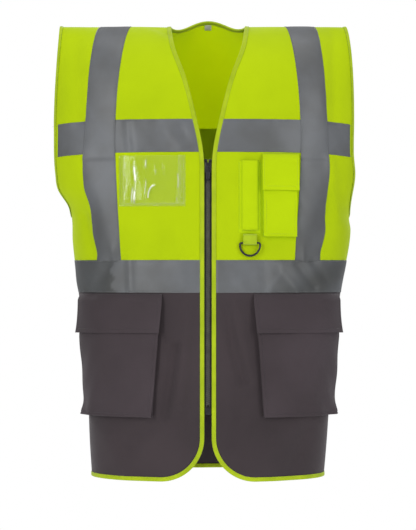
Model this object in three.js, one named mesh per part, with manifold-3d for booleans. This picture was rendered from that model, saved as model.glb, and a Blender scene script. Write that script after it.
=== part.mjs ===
// High visibility work vest with a front zip, reflective tapes and pockets.
// Millimetres, +Z up, the front faces -Y and the wearer's left is +X.
// The origin is midway between the shoulders, at the height of the shoulder ridge.
import * as THREE from 'three';
import { mergeVertices } from 'three/addons/utils/BufferGeometryUtils.js';
import Module from 'manifold-3d';

const wasm = await Module();
wasm.setup();

// ---------- driving dimensions ----------

// The garment as worn: how far each thing lies below the shoulder ridge, and how wide it is.
const LENGTH = 704;
const SHOULDER_HALF = 229;
const CHEST_HALF = 235;
const UNDERARM_HALF = 223;
const WAIST_HALF = 206;
const POCKET_DROP = 549;
const POCKET_HALF = 191;
const HEM_HALF = 182;
const FRONT_DEPTH = 113;
const BACK_DEPTH = 106;
const WAIST_BACK_DEPTH = 97;
const HEM_BACK_DEPTH = 111;
const CROWN_HEIGHT = 150;
const SECTION_POWER = 2.3;
const UNDERARM_DROP = 295;
const ARMHOLE_OPEN = 24.5 * Math.PI / 180;
const NECK_HALF = 59;
const NECK_DROP = 222;
const NAPE_RISE = 26;
const NAPE_DEPTH = 38;
const HEM_CORNER = 66;

// Cloth, tape and how layers are stacked.
const CLOTH = 1.0;
const GAP = 0.5;
const TAPE_THICK = 0.6;
const TAPE_WIDTH = 50;
const SEAM_GAP = 0.25;
const FOLD_GAP = 0.9;
const INNER_GAP = 1.6;
const BINDING_WIDTH = 5.5;

// Where the tapes and the colour change lie.
const CHEST_TAPE_DROP = 152;
const CHEST_TAPE_SAG = 7;
const WAIST_TAPE_DROP = 367;
const BRACE_AT_SHOULDER = 119;
const BRACE_AT_CHEST = 141;
const BRACE_AT_WAIST = 133;

// Zip: it lies behind the bound front edges, on the straight centre front.
const FRONT_EDGE = 6.8;
const ZIP = { top: 213, bottom: 603, tapeWidth: 15, tapeThick: 0.5, slit: 0.6 };
const TOOTH = { reach: 2.8, core: 1.2, thick: 3, length: 3.6, pitch: 8 };
const SLIDER = { half: 4.7, height: 16, plate: 1.3, flange: 0.8, web: 0.3, lug: 1 };
const STOP_HEIGHT = 4.5;
const PIN_WIDTH = 2;
const RETAINER = { half: 4.4, height: 11.5, wall: 1.1 };
const PULL = {
  half: 3.25, length: 22, thick: 1.2, pin: 0.8, pinReach: 2.3, pinAt: 0.45, eye: 2, bore: 1.1, neck: 1.6,
};
// How far solids that are joined run into each other.
const OVERLAP = 0.2;

// Pockets: x of the inner edge, width round the body, drops of top and bottom, room inside.
// mouth is the share of the room left at the top, and wall how soon the patch comes up to its room.
const CARGO = {
  inner: 72, width: 152, taper: 13, top: 431, bottom: 606, room: 9.5, mouth: 0.5, wall: 3,
};
const CARGO_FLAP = { top: 418.5, bottom: 478, overhang: 3 };
const PHONE = {
  inner: 84, width: 52, taper: 0, top: 216, bottom: 331, room: 7, mouth: 0.85, wall: 9,
};
const PHONE_FLAP = { top: 204, bottom: 260, overhang: 2 };
const PEN = {
  inner: 47, width: 34, taper: 0, top: 215, bottom: 326, room: 5.5, mouth: 1, wall: 8,
};
const BADGE = {
  inner: 34, width: 106, taper: 0, top: 207, bottom: 285, room: 6, mouth: 1, wall: 12,
};
const BADGE_SHEET = 0.5;
const FASTENER = { thick: 0.7, height: 20, below: 8 };
const CARGO_FASTENER = 90;
const PHONE_FASTENER = 34;

// Webbing loop and ring below the pen pocket.
const RING = { half: 17, height: 23, wire: 3.4, thick: 3, straight: 3, drop: 341 };
const RING_TAB = { half: 10.5, thick: 0.7, top: 327.5, room: 2.5, shoulder: 3.5, seam: 2.2 };
const NECK_LABEL = { width: 10, height: 7, thick: 0.5 };

// ---------- colours ----------

const cloth = (color) => new THREE.MeshStandardMaterial({ color, roughness: 0.85, metalness: 0 });
const YELLOW = cloth(0xc4e000);
const LIME = cloth(0xb6d62a);
const CHARCOAL = cloth(0x4c4347);
const BLACK_CLOTH = cloth(0x1c1c1a);
const LABEL_WHITE = cloth(0xc8c8b8);
const SILVER = new THREE.MeshStandardMaterial({ color: 0x74777a, roughness: 0.5, metalness: 0.1 });
const CLEAR = new THREE.MeshStandardMaterial({
  color: 0xe8f0e0, roughness: 0.15, metalness: 0, transparent: true, opacity: 0.35 });
const BLACK_PLASTIC = new THREE.MeshStandardMaterial({
  color: 0x1e1c1c, roughness: 0.4, metalness: 0 });

const vest = new THREE.Group();

function add(name, geometry, material) {
  const mesh = new THREE.Mesh(geometry, material);
  mesh.name = name;
  vest.add(mesh);
}

// ---------- the shape of the body that the cloth lies on ----------

const mix = (a, b, t) => a + (b - a) * t;
const clamped = (t, low = 0, high = 1) => Math.min(Math.max(t, low), high);
const smooth = (t) => clamped(t) ** 2 * (3 - 2 * clamped(t));

// A smooth curve through a few points [t, value].
function through(points, t) {
  let i = 0;
  while (i < points.length - 2 && t > points[i + 1][0]) i += 1;
  const slope = (a, b) => (b[1] - a[1]) / (b[0] - a[0]);
  const [p, q] = [points[i], points[i + 1]];
  const mid = slope(p, q);
  const start = i > 0 ? (slope(points[i - 1], p) + mid) / 2 : mid;
  const end = i < points.length - 2 ? (mid + slope(q, points[i + 2])) / 2 : mid;
  const span = q[0] - p[0];
  const s = clamped((t - p[0]) / span);
  const bend = span * s * (1 - s) * ((1 - s) * start - s * end);
  return mix(p[1], q[1], smooth(s)) + bend;
}

// Rows of cloth are numbered by r. Over the shoulder crown r follows the arc; below it r is the
// drop.
const rowAt = (drop) => (drop >= CROWN_HEIGHT ? drop
  : CROWN_HEIGHT * Math.acos(1 - drop / CROWN_HEIGHT) * 2 / Math.PI);
const crownAngle = (r) => clamped(r / CROWN_HEIGHT) * Math.PI / 2;
const dropAt = (r) => (r >= CROWN_HEIGHT ? r : CROWN_HEIGHT * (1 - Math.cos(crownAngle(r))));

// Beside the armholes the cloth's edges stop short of the full half width by this share.
const SIDE_SEAM = Math.PI / 2;
const ARMHOLE_SHARE = Math.sin(SIDE_SEAM - ARMHOLE_OPEN) ** (2 / SECTION_POWER);
const halfWidth = (r) => through([
  [0, SHOULDER_HALF / ARMHOLE_SHARE], [CROWN_HEIGHT, CHEST_HALF / ARMHOLE_SHARE],
  [UNDERARM_DROP, UNDERARM_HALF], [WAIST_TAPE_DROP + TAPE_WIDTH, WAIST_HALF],
  [POCKET_DROP, POCKET_HALF], [LENGTH, HEM_HALF],
], r);
const backDepth = (r) => through([
  [0, BACK_DEPTH], [CROWN_HEIGHT, BACK_DEPTH], [WAIST_TAPE_DROP, WAIST_BACK_DEPTH],
  [LENGTH, HEM_BACK_DEPTH],
], r);

// A point on the body: angle a runs from the centre front round the wearer's left to the centre back.
function skin(a, r, lift = 0) {
  if (lift === 0) {
    const [s, c] = [Math.sin(a), Math.cos(a)];
    const power = 2 / SECTION_POWER;
    const x = halfWidth(r) * Math.sign(s) * Math.abs(s) ** power;
    const depth = c > 0 ? FRONT_DEPTH : backDepth(r);
    const crown = crownAngle(r);
    const y = -depth * Math.sign(c) * Math.abs(c) ** power * Math.sin(crown);
    const nape = c < 0 && Math.abs(x) < NECK_HALF
      ? NAPE_RISE * Math.cos(Math.PI / 2 * x / NECK_HALF) ** 2 * Math.cos(crown) ** 2 : 0;
    return new THREE.Vector3(x, y, nape - dropAt(r));
  }
  return skin(a, r).addScaledVector(skinNormal(a, r), lift);
}

function skinNormal(a, r) {
  const [da, dr] = [1e-3, 0.05];
  const across = skin(a + da, r).sub(skin(a - da, r));
  const top = Math.max(r - dr, 0);
  const down = skin(a, top + 2 * dr).sub(skin(a, top));
  return down.cross(across).normalize();
}

const angleAt = (x, r) => Math.asin(Math.min(x / halfWidth(r), 1) ** (SECTION_POWER / 2));

// The angle reached by going a distance round the body from angle a, along row r.
function walk(a, r, distance) {
  const stages = 8;
  const h = 1e-3;
  let angle = a;
  for (let i = 0; i < stages; i += 1) {
    const rate = skin(angle + h, r).distanceTo(skin(angle - h, r)) / (2 * h);
    angle += distance / stages / rate;
  }
  return angle;
}

// ---------- how cloth pieces are cut ----------

// A sheet of cloth: at(u, v) gives its inner face, with u across and v down, and its thickness goes
// outwards. The stops are the places where it is divided.
function sheet(uStops, vStops, thick, at) {
  const geometry = new THREE.BoxGeometry(1, 1, 1, uStops.length - 1, vStops.length - 1, 1);
  const position = geometry.attributes.position;
  const h = 1e-4;
  const inside = (t) => clamped(t, h, 1 - h);
  const pick = (stops, t) => stops[Math.round(t * (stops.length - 1))];
  for (let i = 0; i < position.count; i += 1) {
    const u = pick(uStops, position.getX(i) + 0.5);
    const v = pick(vStops, 0.5 - position.getY(i));
    const point = at(u, v);
    if (position.getZ(i) > 0) {
      const [uc, vc] = [inside(u), inside(v)];
      const across = at(uc + h, vc).sub(at(uc - h, vc));
      const down = at(uc, vc + h).sub(at(uc, vc - h));
      point.addScaledVector(down.cross(across).normalize(), thick);
    }
    position.setXYZ(i, point.x, point.y, point.z);
  }
  return geometry;
}

const evenly = (n) => Array.from({ length: n + 1 }, (_, i) => i / n);
const rowsBetween = (rows) => rows.map((r) => (r - rows[0]) / (rows[rows.length - 1] - rows[0]));
const steps = (from, to, n) => Array.from({ length: n }, (_, i) => mix(from, to, (i + 1) / n));

// A strip between two edges, each giving its angle at row r.
function strip(columns, rows, lift, thick, innerEdge, outerEdge) {
  const [top, bottom] = [rows[0], rows[rows.length - 1]];
  return sheet(evenly(columns), rowsBetween(rows), thick, (u, v) => {
    const r = mix(top, bottom, v);
    return skin(mix(innerEdge(r), outerEdge(r), u), r, lift);
  });
}

// A body panel is a strip whose outermost columns are just wider than the binding on them.
const EDGE_SHARE = 0.05;
const FOLD = BINDING_WIDTH + 1;
const edgeColumns = (n) => [0, ...evenly(n).map((t) => mix(EDGE_SHARE, 1 - EDGE_SHARE, t)), 1];
function panelAngle(u, r, innerEdge, outerEdge) {
  const [inner, outer] = [innerEdge(r), outerEdge(r)];
  const [innerFold, outerFold] = [walk(inner, r, FOLD), walk(outer, r, -FOLD)];
  if (u < EDGE_SHARE) return mix(inner, innerFold, u / EDGE_SHARE);
  if (u > 1 - EDGE_SHARE) return mix(outer, outerFold, (1 - u) / EDGE_SHARE);
  return mix(innerFold, outerFold, (u - EDGE_SHARE) / (1 - 2 * EDGE_SHARE));
}
function panel(columns, rows, innerEdge, outerEdge) {
  const [top, bottom] = [rows[0], rows[rows.length - 1]];
  return sheet(edgeColumns(columns), rowsBetween(rows), CLOTH, (u, v) => {
    const r = mix(top, bottom, v);
    return skin(panelAngle(u, r, innerEdge, outerEdge), r);
  });
}

// Goes a short way over the body from (a, r) along a direction that lies in its surface.
function moved(a, r, direction, distance) {
  const h = 1e-3;
  const across = skin(a + h, r).sub(skin(a - h, r)).divideScalar(2 * h);
  const down = skin(a, r + h).sub(skin(a, r - h)).divideScalar(2 * h);
  const [aa, dd, ad] = [across.lengthSq(), down.lengthSq(), across.dot(down)];
  const [wa, wd] = [across.dot(direction) * distance, down.dot(direction) * distance];
  const scale = aa * dd - ad * ad;
  return [a + (wa * dd - wd * ad) / scale, r + (wd * aa - wa * ad) / scale];
}

// Bias binding folded round an edge that runs through a list of [angle, row] points. side is 1 where
// the cloth lies on the right of the edge, seen from outside the body.
function binding(edge, side) {
  const folded = [[-BINDING_WIDTH, 1], [FOLD_GAP, 1], [FOLD_GAP, -1], [-BINDING_WIDTH, -1]];
  const last = edge.length - 1;
  const geometry = new THREE.BoxGeometry(1, 1, 1, last, folded.length - 1, 1);
  const position = geometry.attributes.position;
  const chord = (k) => skin(...edge[k + 1]).sub(skin(...edge[k])).normalize();
  for (let i = 0; i < position.count; i += 1) {
    const k = Math.round((position.getX(i) + 0.5) * last);
    const [reach, face] = folded[Math.round((0.5 - position.getY(i)) * (folded.length - 1))];
    const outer = position.getZ(i) > 0 ? TAPE_THICK : 0;
    const [before, after] = [chord(Math.max(k - 1, 0)), chord(Math.min(k, last - 1))];
    const along = before.clone().add(after).normalize();
    const mitre = 1 / along.dot(after);
    const away = along.cross(skinNormal(...edge[k])).multiplyScalar(-side * mitre);
    const base = reach < 0 ? moved(...edge[k], away, reach) : edge[k];
    const lift = face > 0 ? CLOTH + GAP + outer : -INNER_GAP - outer;
    const point = skin(...base).addScaledVector(skinNormal(...base), lift);
    if (reach > 0) point.addScaledVector(away, reach + outer);
    position.setXYZ(i, point.x, point.y, point.z);
  }
  return side > 0 ? turned(geometry) : geometry;
}

// The same geometry with its faces the other way out.
function turned(geometry) {
  const index = geometry.index.array;
  for (let i = 0; i < index.length; i += 3) {
    [index[i + 1], index[i + 2]] = [index[i + 2], index[i + 1]];
  }
  return geometry;
}

const mirrored = (geometry) => turned(mergeVertices(geometry).scale(-1, 1, 1));

// A piece that the vest has on both sides is drawn for the wearer's left.
function addPair(name, geometry, material) {
  add(`left_${name}`, geometry, material);
  add(`right_${name}`, mirrored(geometry), material);
}

// ---------- joining solids ----------

function solid(geometry) {
  const merged = geometry.clone();
  merged.deleteAttribute('normal');
  merged.deleteAttribute('uv');
  const welded = mergeVertices(merged, 1e-4);
  return new wasm.Manifold(new wasm.Mesh({
    numProp: 3,
    vertProperties: new Float32Array(welded.attributes.position.array),
    triVerts: new Uint32Array(welded.index.array),
  }));
}

function fromSolid(whole) {
  const mesh = whole.getMesh();
  const geometry = new THREE.BufferGeometry();
  geometry.setAttribute('position', new THREE.BufferAttribute(mesh.vertProperties, 3));
  geometry.setIndex(new THREE.BufferAttribute(mesh.triVerts, 1));
  return geometry;
}

const joined = (geometries) => fromSolid(geometries.map(solid).reduce((sum, piece) => sum.add(piece)));

// A box given by its low and high corners.
function block(x0, x1, y0, y1, z0, z1) {
  return new THREE.BoxGeometry(x1 - x0, y1 - y0, z1 - z0)
    .translate((x0 + x1) / 2, (y0 + y1) / 2, (z0 + z1) / 2);
}

// ---------- edges of the panels ----------

const WAIST_SEAM = WAIST_TAPE_DROP + TAPE_WIDTH / 2;
const SEAM_ANGLE = 0.001;

const neckHalf = (drop) => through([
  [0, NECK_HALF], [0.17 * NECK_DROP, 0.9 * NECK_HALF], [0.39 * NECK_DROP, 0.6 * NECK_HALF],
  [0.66 * NECK_DROP, 0.33 * NECK_HALF], [0.88 * NECK_DROP, FRONT_EDGE + 2.5],
  [NECK_DROP, FRONT_EDGE],
], drop);
const cornerTop = LENGTH - HEM_CORNER;

function frontEdge(r) {
  const drop = dropAt(r);
  if (drop < NECK_DROP) return angleAt(neckHalf(drop), r);
  if (drop <= cornerTop) return angleAt(FRONT_EDGE, r);
  const rise = Math.min((drop - cornerTop) / HEM_CORNER, 1);
  return angleAt(FRONT_EDGE + HEM_CORNER * (1 - Math.sqrt(1 - rise * rise)), r);
}

// The armhole narrows to nothing at the underarm.
const ARMHOLE_POWER = 3.2;
const armholeGap = (r) => ARMHOLE_OPEN
  * Math.sqrt(1 - Math.min(r / UNDERARM_DROP, 1) ** ARMHOLE_POWER);
const frontSide = (r) => SIDE_SEAM - Math.max(armholeGap(r), SEAM_ANGLE);
const backSide = (r) => SIDE_SEAM + Math.max(armholeGap(r), SEAM_ANGLE);

const armholeTurns = [32, 46, 58, 68, 77, 84, 90].map((degrees) =>
  UNDERARM_DROP * Math.sin(degrees * Math.PI / 180) ** (2 / ARMHOLE_POWER));
const NECK_ROW = 7;
const upperRows = [SEAM_GAP, NECK_ROW, ...steps(0, CROWN_HEIGHT, 8), ...armholeTurns,
  ...steps(UNDERARM_DROP, WAIST_SEAM - SEAM_GAP, 3)];
const cornerTurns = [15, 30, 45, 57, 68, 79, 90].map((degrees) =>
  cornerTop + HEM_CORNER * Math.sin(degrees * Math.PI / 180));
const lowerRows = [WAIST_SEAM + SEAM_GAP, ...steps(WAIST_SEAM, cornerTop, 4), ...cornerTurns];

// ---------- panels ----------

const PANEL_COLUMNS = 9;
addPair('front_upper_panel', panel(PANEL_COLUMNS, upperRows, frontEdge, frontSide), YELLOW);
addPair('front_lower_panel', panel(PANEL_COLUMNS, lowerRows, frontEdge, frontSide), CHARCOAL);

// The back neckline dips between the shoulders in a quarter ellipse each side.
const napeRow = rowAt(CROWN_HEIGHT * (1 - Math.sqrt(1 - (NAPE_DEPTH / BACK_DEPTH) ** 2)));
const neckRow = (x) => SEAM_GAP + (Math.abs(x) < NECK_HALF
  ? (napeRow - SEAM_GAP) * Math.sqrt(1 - (x / NECK_HALF) ** 2) : 0);
const backEnd = (r) => 2 * Math.PI - backSide(r);
const topAngle = (x) => Math.PI - angleAt(x, 0);
const neckDegrees = [0, 18, 36, 54, 72, 90];
const neckColumns = neckDegrees.map((degrees) => {
  const fold = walk(backSide(0), 0, FOLD);
  const reach = topAngle(NECK_HALF * Math.cos(degrees * Math.PI / 180)) - fold;
  const share = reach / (2 * (Math.PI - fold));
  return mix(EDGE_SHARE, 1 - EDGE_SHARE, share);
});
const shoulderColumns = evenly(5).slice(0, -1).map((t) => mix(EDGE_SHARE, neckColumns[0], t));
const halfBack = [0, ...shoulderColumns, ...neckColumns];
const backStops = [...halfBack, ...halfBack.slice(0, -1).reverse().map((t) => 1 - t)];

function backPanel(rows) {
  const bottom = rows[rows.length - 1];
  return sheet(backStops, rowsBetween(rows), CLOTH, (u, v) => {
    const reach = mix(rows[0], bottom, v);
    const onRidge = skin(panelAngle(u, 0, backSide, backEnd), 0).x;
    const top = rows[0] === SEAM_GAP ? neckRow(onRidge) : rows[0];
    const r = reach + (top - rows[0]) * (1 - smooth((reach - rows[0]) / CROWN_HEIGHT));
    return skin(panelAngle(u, r, backSide, backEnd), r);
  });
}
add('back_upper_panel', backPanel(upperRows), YELLOW);
add('back_lower_panel', backPanel([WAIST_SEAM + SEAM_GAP,
  ...steps(WAIST_SEAM, LENGTH - FOLD, 5), LENGTH]), CHARCOAL);

// ---------- reflective tapes ----------

const ON_CLOTH = CLOTH + GAP;
const ON_TAPE = ON_CLOTH + TAPE_THICK + GAP;
const BINDING_END = BINDING_WIDTH + GAP;
const EDGE_MARGIN = 2.5;

const chestDrop = (a) => CHEST_TAPE_DROP + CHEST_TAPE_SAG * Math.sin(a) ** 4;
const frontStart = (r) => walk(frontEdge(r), r, BINDING_END + TAPE_THICK);
const armEnd = (r) => walk(frontSide(r), r, -BINDING_END - EDGE_MARGIN);

const chestTape = (start, end, columns) => sheet(evenly(columns), evenly(2), TAPE_THICK, (u, v) => {
  const middle = CHEST_TAPE_DROP + TAPE_WIDTH / 2;
  const a = mix(start(middle), end(middle), u);
  const r = chestDrop(a) + TAPE_WIDTH * v;
  return skin(mix(start(r), end(r), u), r, ON_CLOTH);
});
addPair('chest_tape', chestTape(frontStart, armEnd, 14), SILVER);
const backArmEnd = (r) => walk(backSide(r), r, BINDING_END + EDGE_MARGIN);
add('back_chest_tape', chestTape(backArmEnd, (r) => 2 * Math.PI - backArmEnd(r), 26), SILVER);

const waistRows = steps(WAIST_TAPE_DROP, WAIST_TAPE_DROP + TAPE_WIDTH, 2);
const waistTape = (columns, start, end) =>
  strip(columns, [WAIST_TAPE_DROP, ...waistRows], ON_CLOTH, TAPE_THICK, start, end);
addPair('waist_tape', waistTape(14, frontStart, frontSide), SILVER);
add('back_waist_tape', waistTape(28, backSide, (r) => 2 * Math.PI - backSide(r)), SILVER);

// A brace tape runs from the front waist tape over the shoulder to the back one, on the chest tapes.
const braceInner = (r) => through([
  [0, BRACE_AT_SHOULDER], [CHEST_TAPE_DROP, BRACE_AT_CHEST], [WAIST_TAPE_DROP, BRACE_AT_WAIST],
], r);
const RAMP = 9;
const CHEST_TAPE_END = CHEST_TAPE_DROP + CHEST_TAPE_SAG + TAPE_WIDTH;
const braceLift = (r) => {
  const up = smooth((r - CHEST_TAPE_DROP + RAMP) / RAMP);
  const down = smooth((CHEST_TAPE_END + RAMP - r) / RAMP);
  return mix(ON_CLOTH, ON_TAPE, up * down);
};
const braceHalf = [...steps(0, CHEST_TAPE_DROP - RAMP, 10),
  ...steps(CHEST_TAPE_DROP - RAMP, CHEST_TAPE_DROP, 2), ...steps(CHEST_TAPE_DROP, CHEST_TAPE_END, 3),
  ...steps(CHEST_TAPE_END, CHEST_TAPE_END + RAMP, 2),
  ...steps(CHEST_TAPE_END + RAMP, WAIST_TAPE_DROP - GAP, 5)];
const braceRows = [...[...braceHalf].reverse().map((r) => -r), 0, ...braceHalf];
addPair('brace_tape', sheet(evenly(3), rowsBetween(braceRows), TAPE_THICK, (u, v) => {
  const signed = mix(braceRows[0], braceRows[braceRows.length - 1], v);
  const r = Math.abs(signed);
  const start = angleAt(braceInner(r), r);
  const a = mix(start, walk(start, r, TAPE_WIDTH), u);
  return skin(signed > 0 ? a : Math.PI - a, r, braceLift(r));
}), SILVER);

// ---------- bindings ----------

// The front binding follows the neck, the zip edge, the rounded corner and the hem to the side seam.
const frontNeckEdge = [...upperRows, ...lowerRows].filter((r) => Math.abs(r - WAIST_SEAM) > 1)
  .map((r) => [frontEdge(r), r]);
const hemEdge = edgeColumns(PANEL_COLUMNS).slice(1)
  .map((u) => [panelAngle(u, LENGTH, frontEdge, frontSide), LENGTH]);
addPair('front_binding', binding([...frontNeckEdge, ...hemEdge], -1), LIME);
add('back_hem_binding',
  binding(backStops.map((u) => [panelAngle(u, LENGTH, backSide, backEnd), LENGTH]), -1), LIME);

const acrossNape = [...neckDegrees, ...neckDegrees.slice(0, -1).reverse().map((d) => 180 - d)];
const napeEdge = acrossNape.map((degrees) => {
  const x = NECK_HALF * Math.cos(degrees * Math.PI / 180);
  return [x >= 0 ? topAngle(x) : 2 * Math.PI - topAngle(-x), neckRow(x)];
});
add('back_neck_binding', binding(napeEdge, 1), LIME);

// Each armhole binding starts and ends at the underarm, with a hair's gap where its ends meet.
const armRows = upperRows.filter((r) => r > SEAM_GAP && r < UNDERARM_DROP + 1);
const armEdge = [...armRows.map((r) => [frontSide(r), r]).reverse(), [frontSide(0), 0],
  ...armRows.map((r) => [backSide(r), r])];
addPair('armhole_binding', binding(armEdge, -1), LIME);

// ---------- zip ----------

// Depths from front to back: the tape lies behind the inner legs of the front bindings.
const zipTapeFront = -FRONT_DEPTH + INNER_GAP + TAPE_THICK + GAP;
const zipMiddle = zipTapeFront + ZIP.tapeThick / 2;
const toothFront = zipMiddle - TOOTH.thick / 2;
const toothBack = zipMiddle + TOOTH.thick / 2;
const teethTop = ZIP.top + STOP_HEIGHT + 2 * GAP;
const retainerTop = ZIP.bottom - RETAINER.height;
const toothEnd = ZIP.slit + TOOTH.reach;

// An outline in x and z, made into a plate between two depths.
function plate(shape, front, back) {
  return new THREE.ExtrudeGeometry(shape, { depth: back - front, bevelEnabled: false })
    .rotateX(Math.PI / 2).translate(0, back, 0);
}
const outline = (points) => new THREE.Shape(points.map(([x, z]) => new THREE.Vector2(x, z)));

// The tape is cut back beside the retainer box.
const tapeInner = ZIP.slit + TOOTH.core + GAP;
const notch = RETAINER.half + GAP;
addPair('zip_tape', plate(outline([
  [tapeInner, -ZIP.top], [tapeInner, -retainerTop + GAP], [notch, -retainerTop + GAP],
  [notch, -ZIP.bottom], [tapeInner + ZIP.tapeWidth, -ZIP.bottom], [tapeInner + ZIP.tapeWidth, -ZIP.top],
]), zipTapeFront, zipTapeFront + ZIP.tapeThick), BLACK_CLOTH);

// The teeth stand on a core cord that runs along the slit.
function toothRow() {
  const coreEdge = ZIP.slit + TOOTH.core;
  const points = [[ZIP.slit, -retainerTop + GAP], [coreEdge, -retainerTop + GAP]];
  const count = Math.floor((retainerTop - teethTop - TOOTH.length) / TOOTH.pitch);
  for (let i = count; i >= 0; i -= 1) {
    const top = teethTop + i * TOOTH.pitch;
    points.push([coreEdge, -top - TOOTH.length], [toothEnd, -top - TOOTH.length],
      [toothEnd, -top], [coreEdge, -top]);
  }
  points[points.length - 1] = [ZIP.slit, -teethTop];
  return plate(outline(points), toothFront, zipTapeFront - GAP / 2);
}
addPair('zip_teeth', toothRow(), BLACK_PLASTIC);

addPair('zip_top_stop', block(ZIP.slit + GAP, toothEnd, toothFront, zipTapeFront - GAP / 2,
  -ZIP.top - STOP_HEIGHT, -ZIP.top), BLACK_PLASTIC);

// The retainer box takes the insertion pin of the other side.
const boxFront = toothFront - GAP;
const boxBack = toothBack + GAP;
const [socketFront, socketBack] = [boxFront + RETAINER.wall, boxBack - RETAINER.wall];
const socketFloor = -ZIP.bottom + RETAINER.wall;
const pinSide = ZIP.slit + PIN_WIDTH;
add('zip_insertion_pin', block(ZIP.slit, pinSide, socketFront + GAP, socketBack - GAP,
  socketFloor + GAP, -retainerTop), BLACK_PLASTIC);
const boxSolid = solid(block(-RETAINER.half, RETAINER.half, boxFront, boxBack,
  -ZIP.bottom, -retainerTop));
const socket = solid(block(ZIP.slit - SLIDER.web, pinSide + GAP, socketFront, socketBack,
  socketFloor, -retainerTop + OVERLAP));
add('zip_retainer_box', fromSolid(boxSolid.subtract(socket)), BLACK_PLASTIC);

// The slider's two plates are joined by a thin web that runs in the slit between the rows of teeth.
const sliderTop = -ZIP.top - STOP_HEIGHT - GAP;
const sliderBottom = sliderTop - SLIDER.height;
const frontPlate = toothFront - GAP;
const sliderFace = frontPlate - SLIDER.plate;
const backPlate = toothBack + GAP;
const pinDepth = sliderFace - PULL.eye - GAP;
const pinHeight = sliderTop - SLIDER.height * PULL.pinAt;
const pinCover = pinDepth - PULL.pin - OVERLAP;

// Two blocks, one on each side, from x0 to x1.
const bothSides = (x0, x1, ...depthsAndHeights) =>
  [block(x0, x1, ...depthsAndHeights), block(-x1, -x0, ...depthsAndHeights)];
const flanges = bothSides(SLIDER.half - SLIDER.flange, SLIDER.half,
  frontPlate - OVERLAP, zipTapeFront - GAP, sliderBottom, sliderTop);
const lugs = bothSides(PULL.pinReach, PULL.pinReach + SLIDER.lug,
  pinCover, sliderFace + OVERLAP, pinHeight - PULL.eye, pinHeight + PULL.eye);
const pullPin = new THREE.CylinderGeometry(PULL.pin, PULL.pin, 2 * (PULL.pinReach + OVERLAP), 12)
  .rotateZ(Math.PI / 2).translate(0, pinDepth, pinHeight);
add('zip_slider', joined([
  block(-SLIDER.half, SLIDER.half, sliderFace, frontPlate, sliderBottom, sliderTop),
  block(-SLIDER.half, SLIDER.half, backPlate, backPlate + SLIDER.plate, sliderBottom, sliderTop),
  block(-SLIDER.web, SLIDER.web, frontPlate - OVERLAP, backPlate + OVERLAP, sliderBottom, sliderTop),
  ...flanges, ...lugs, pullPin,
]), BLACK_PLASTIC);

// The pull hangs on the slider's pin by an eye.
const eyeRing = new THREE.Shape().absarc(0, 0, PULL.eye, 0, 2 * Math.PI);
eyeRing.holes.push(new THREE.Path().absarc(0, 0, PULL.bore, 0, 2 * Math.PI));
const eyeHalf = PULL.pinReach - GAP;
const eyeDepth = { depth: 2 * eyeHalf, bevelEnabled: false, curveSegments: 8 };
const eye = new THREE.ExtrudeGeometry(eyeRing, eyeDepth)
  .translate(0, 0, -eyeHalf).rotateY(Math.PI / 2).translate(0, pinDepth, pinHeight);
const eyeBottom = pinHeight - PULL.eye;
const tabTop = eyeBottom - PULL.neck;
const pullFaces = [pinDepth - PULL.thick / 2, pinDepth + PULL.thick / 2];
add('zip_pull', joined([
  eye,
  block(-eyeHalf, eyeHalf, ...pullFaces, tabTop - OVERLAP, eyeBottom + OVERLAP),
  block(-PULL.half, PULL.half, ...pullFaces, pinHeight - PULL.length, tabTop),
]), BLACK_PLASTIC);

// ---------- pockets ----------

// A pocket is a shaped patch whose sides and bottom are sewn to the panel. Its upper part narrows
// towards the mouth, over this share of its height.
const MOUTH_SHARE = 0.3;
function pouch(size) {
  const height = size.bottom - size.top;
  const lean = (r) => size.taper * (r - size.top) / height;
  return {
    angle(u, r) {
      const start = angleAt(size.inner + lean(r), r);
      return walk(start, r, (size.width - lean(r)) * u);
    },
    lift(u, r) {
      const fromSide = Math.min(u, 1 - u) * size.width;
      const side = Math.sin(Math.PI / 2 * Math.min(fromSide / size.wall, 1));
      const foot = Math.sin(Math.PI / 2 * Math.min((size.bottom - r) / size.wall, 1));
      const mouth = mix(size.mouth, 1, Math.min((r - size.top) / (MOUTH_SHARE * height), 1));
      return ON_CLOTH + size.room * mouth * Math.min(side, foot);
    },
  };
}

function pocket(size, sheetThick, columns, rows) {
  const { angle, lift } = pouch(size);
  const edge = size.wall / size.width;
  const foot = size.wall / (size.bottom - size.top);
  const middle = evenly(columns).map((t) => mix(edge, 1 - edge, t));
  const across = [0, edge / 2, ...middle, 1 - edge / 2, 1];
  const down = [0, ...evenly(rows).map((t) => mix(MOUTH_SHARE, 1 - foot, t)), 1 - foot / 2, 1];
  return sheet(across, down, sheetThick, (u, v) => {
    const r = mix(size.top, size.bottom, v);
    return skin(angle(u, r), r, lift(u, r));
  });
}

// Hook and loop strips, and the flap over them, follow the pocket's outside.
const stackStep = FASTENER.thick + GAP;
function fastener(size, width, layer) {
  const { angle, lift } = pouch(size);
  const margin = (size.width - width) / 2 / size.width;
  const top = size.top + FASTENER.below;
  return sheet(evenly(6), evenly(2), FASTENER.thick, (u, v) => {
    const r = top + FASTENER.height * v;
    const across = mix(margin, 1 - margin, u);
    return skin(angle(across, r), r, lift(across, r) + CLOTH + GAP + layer * stackStep);
  });
}

const flapAngle = (size, flap, u, r) => {
  const share = flap.overhang / size.width;
  return pouch(size).angle(mix(-share, 1 + share, u), Math.max(r, size.top));
};
function flapCover(size, flap, columns) {
  const { lift } = pouch(size);
  const rows = [flap.top, mix(flap.top, size.top, 0.5), size.top,
    ...steps(size.top, flap.bottom, 3)];
  return sheet(evenly(columns), rowsBetween(rows), CLOTH, (u, v) => {
    const r = mix(flap.top, flap.bottom, v);
    const over = lift(0.5, Math.max(r, size.top)) + CLOTH + GAP + 2 * stackStep;
    const rise = Math.min((r - flap.top) / (size.top - flap.top), 1);
    return skin(flapAngle(size, flap, u, r), r, mix(ON_CLOTH, over, rise));
  });
}

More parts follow.
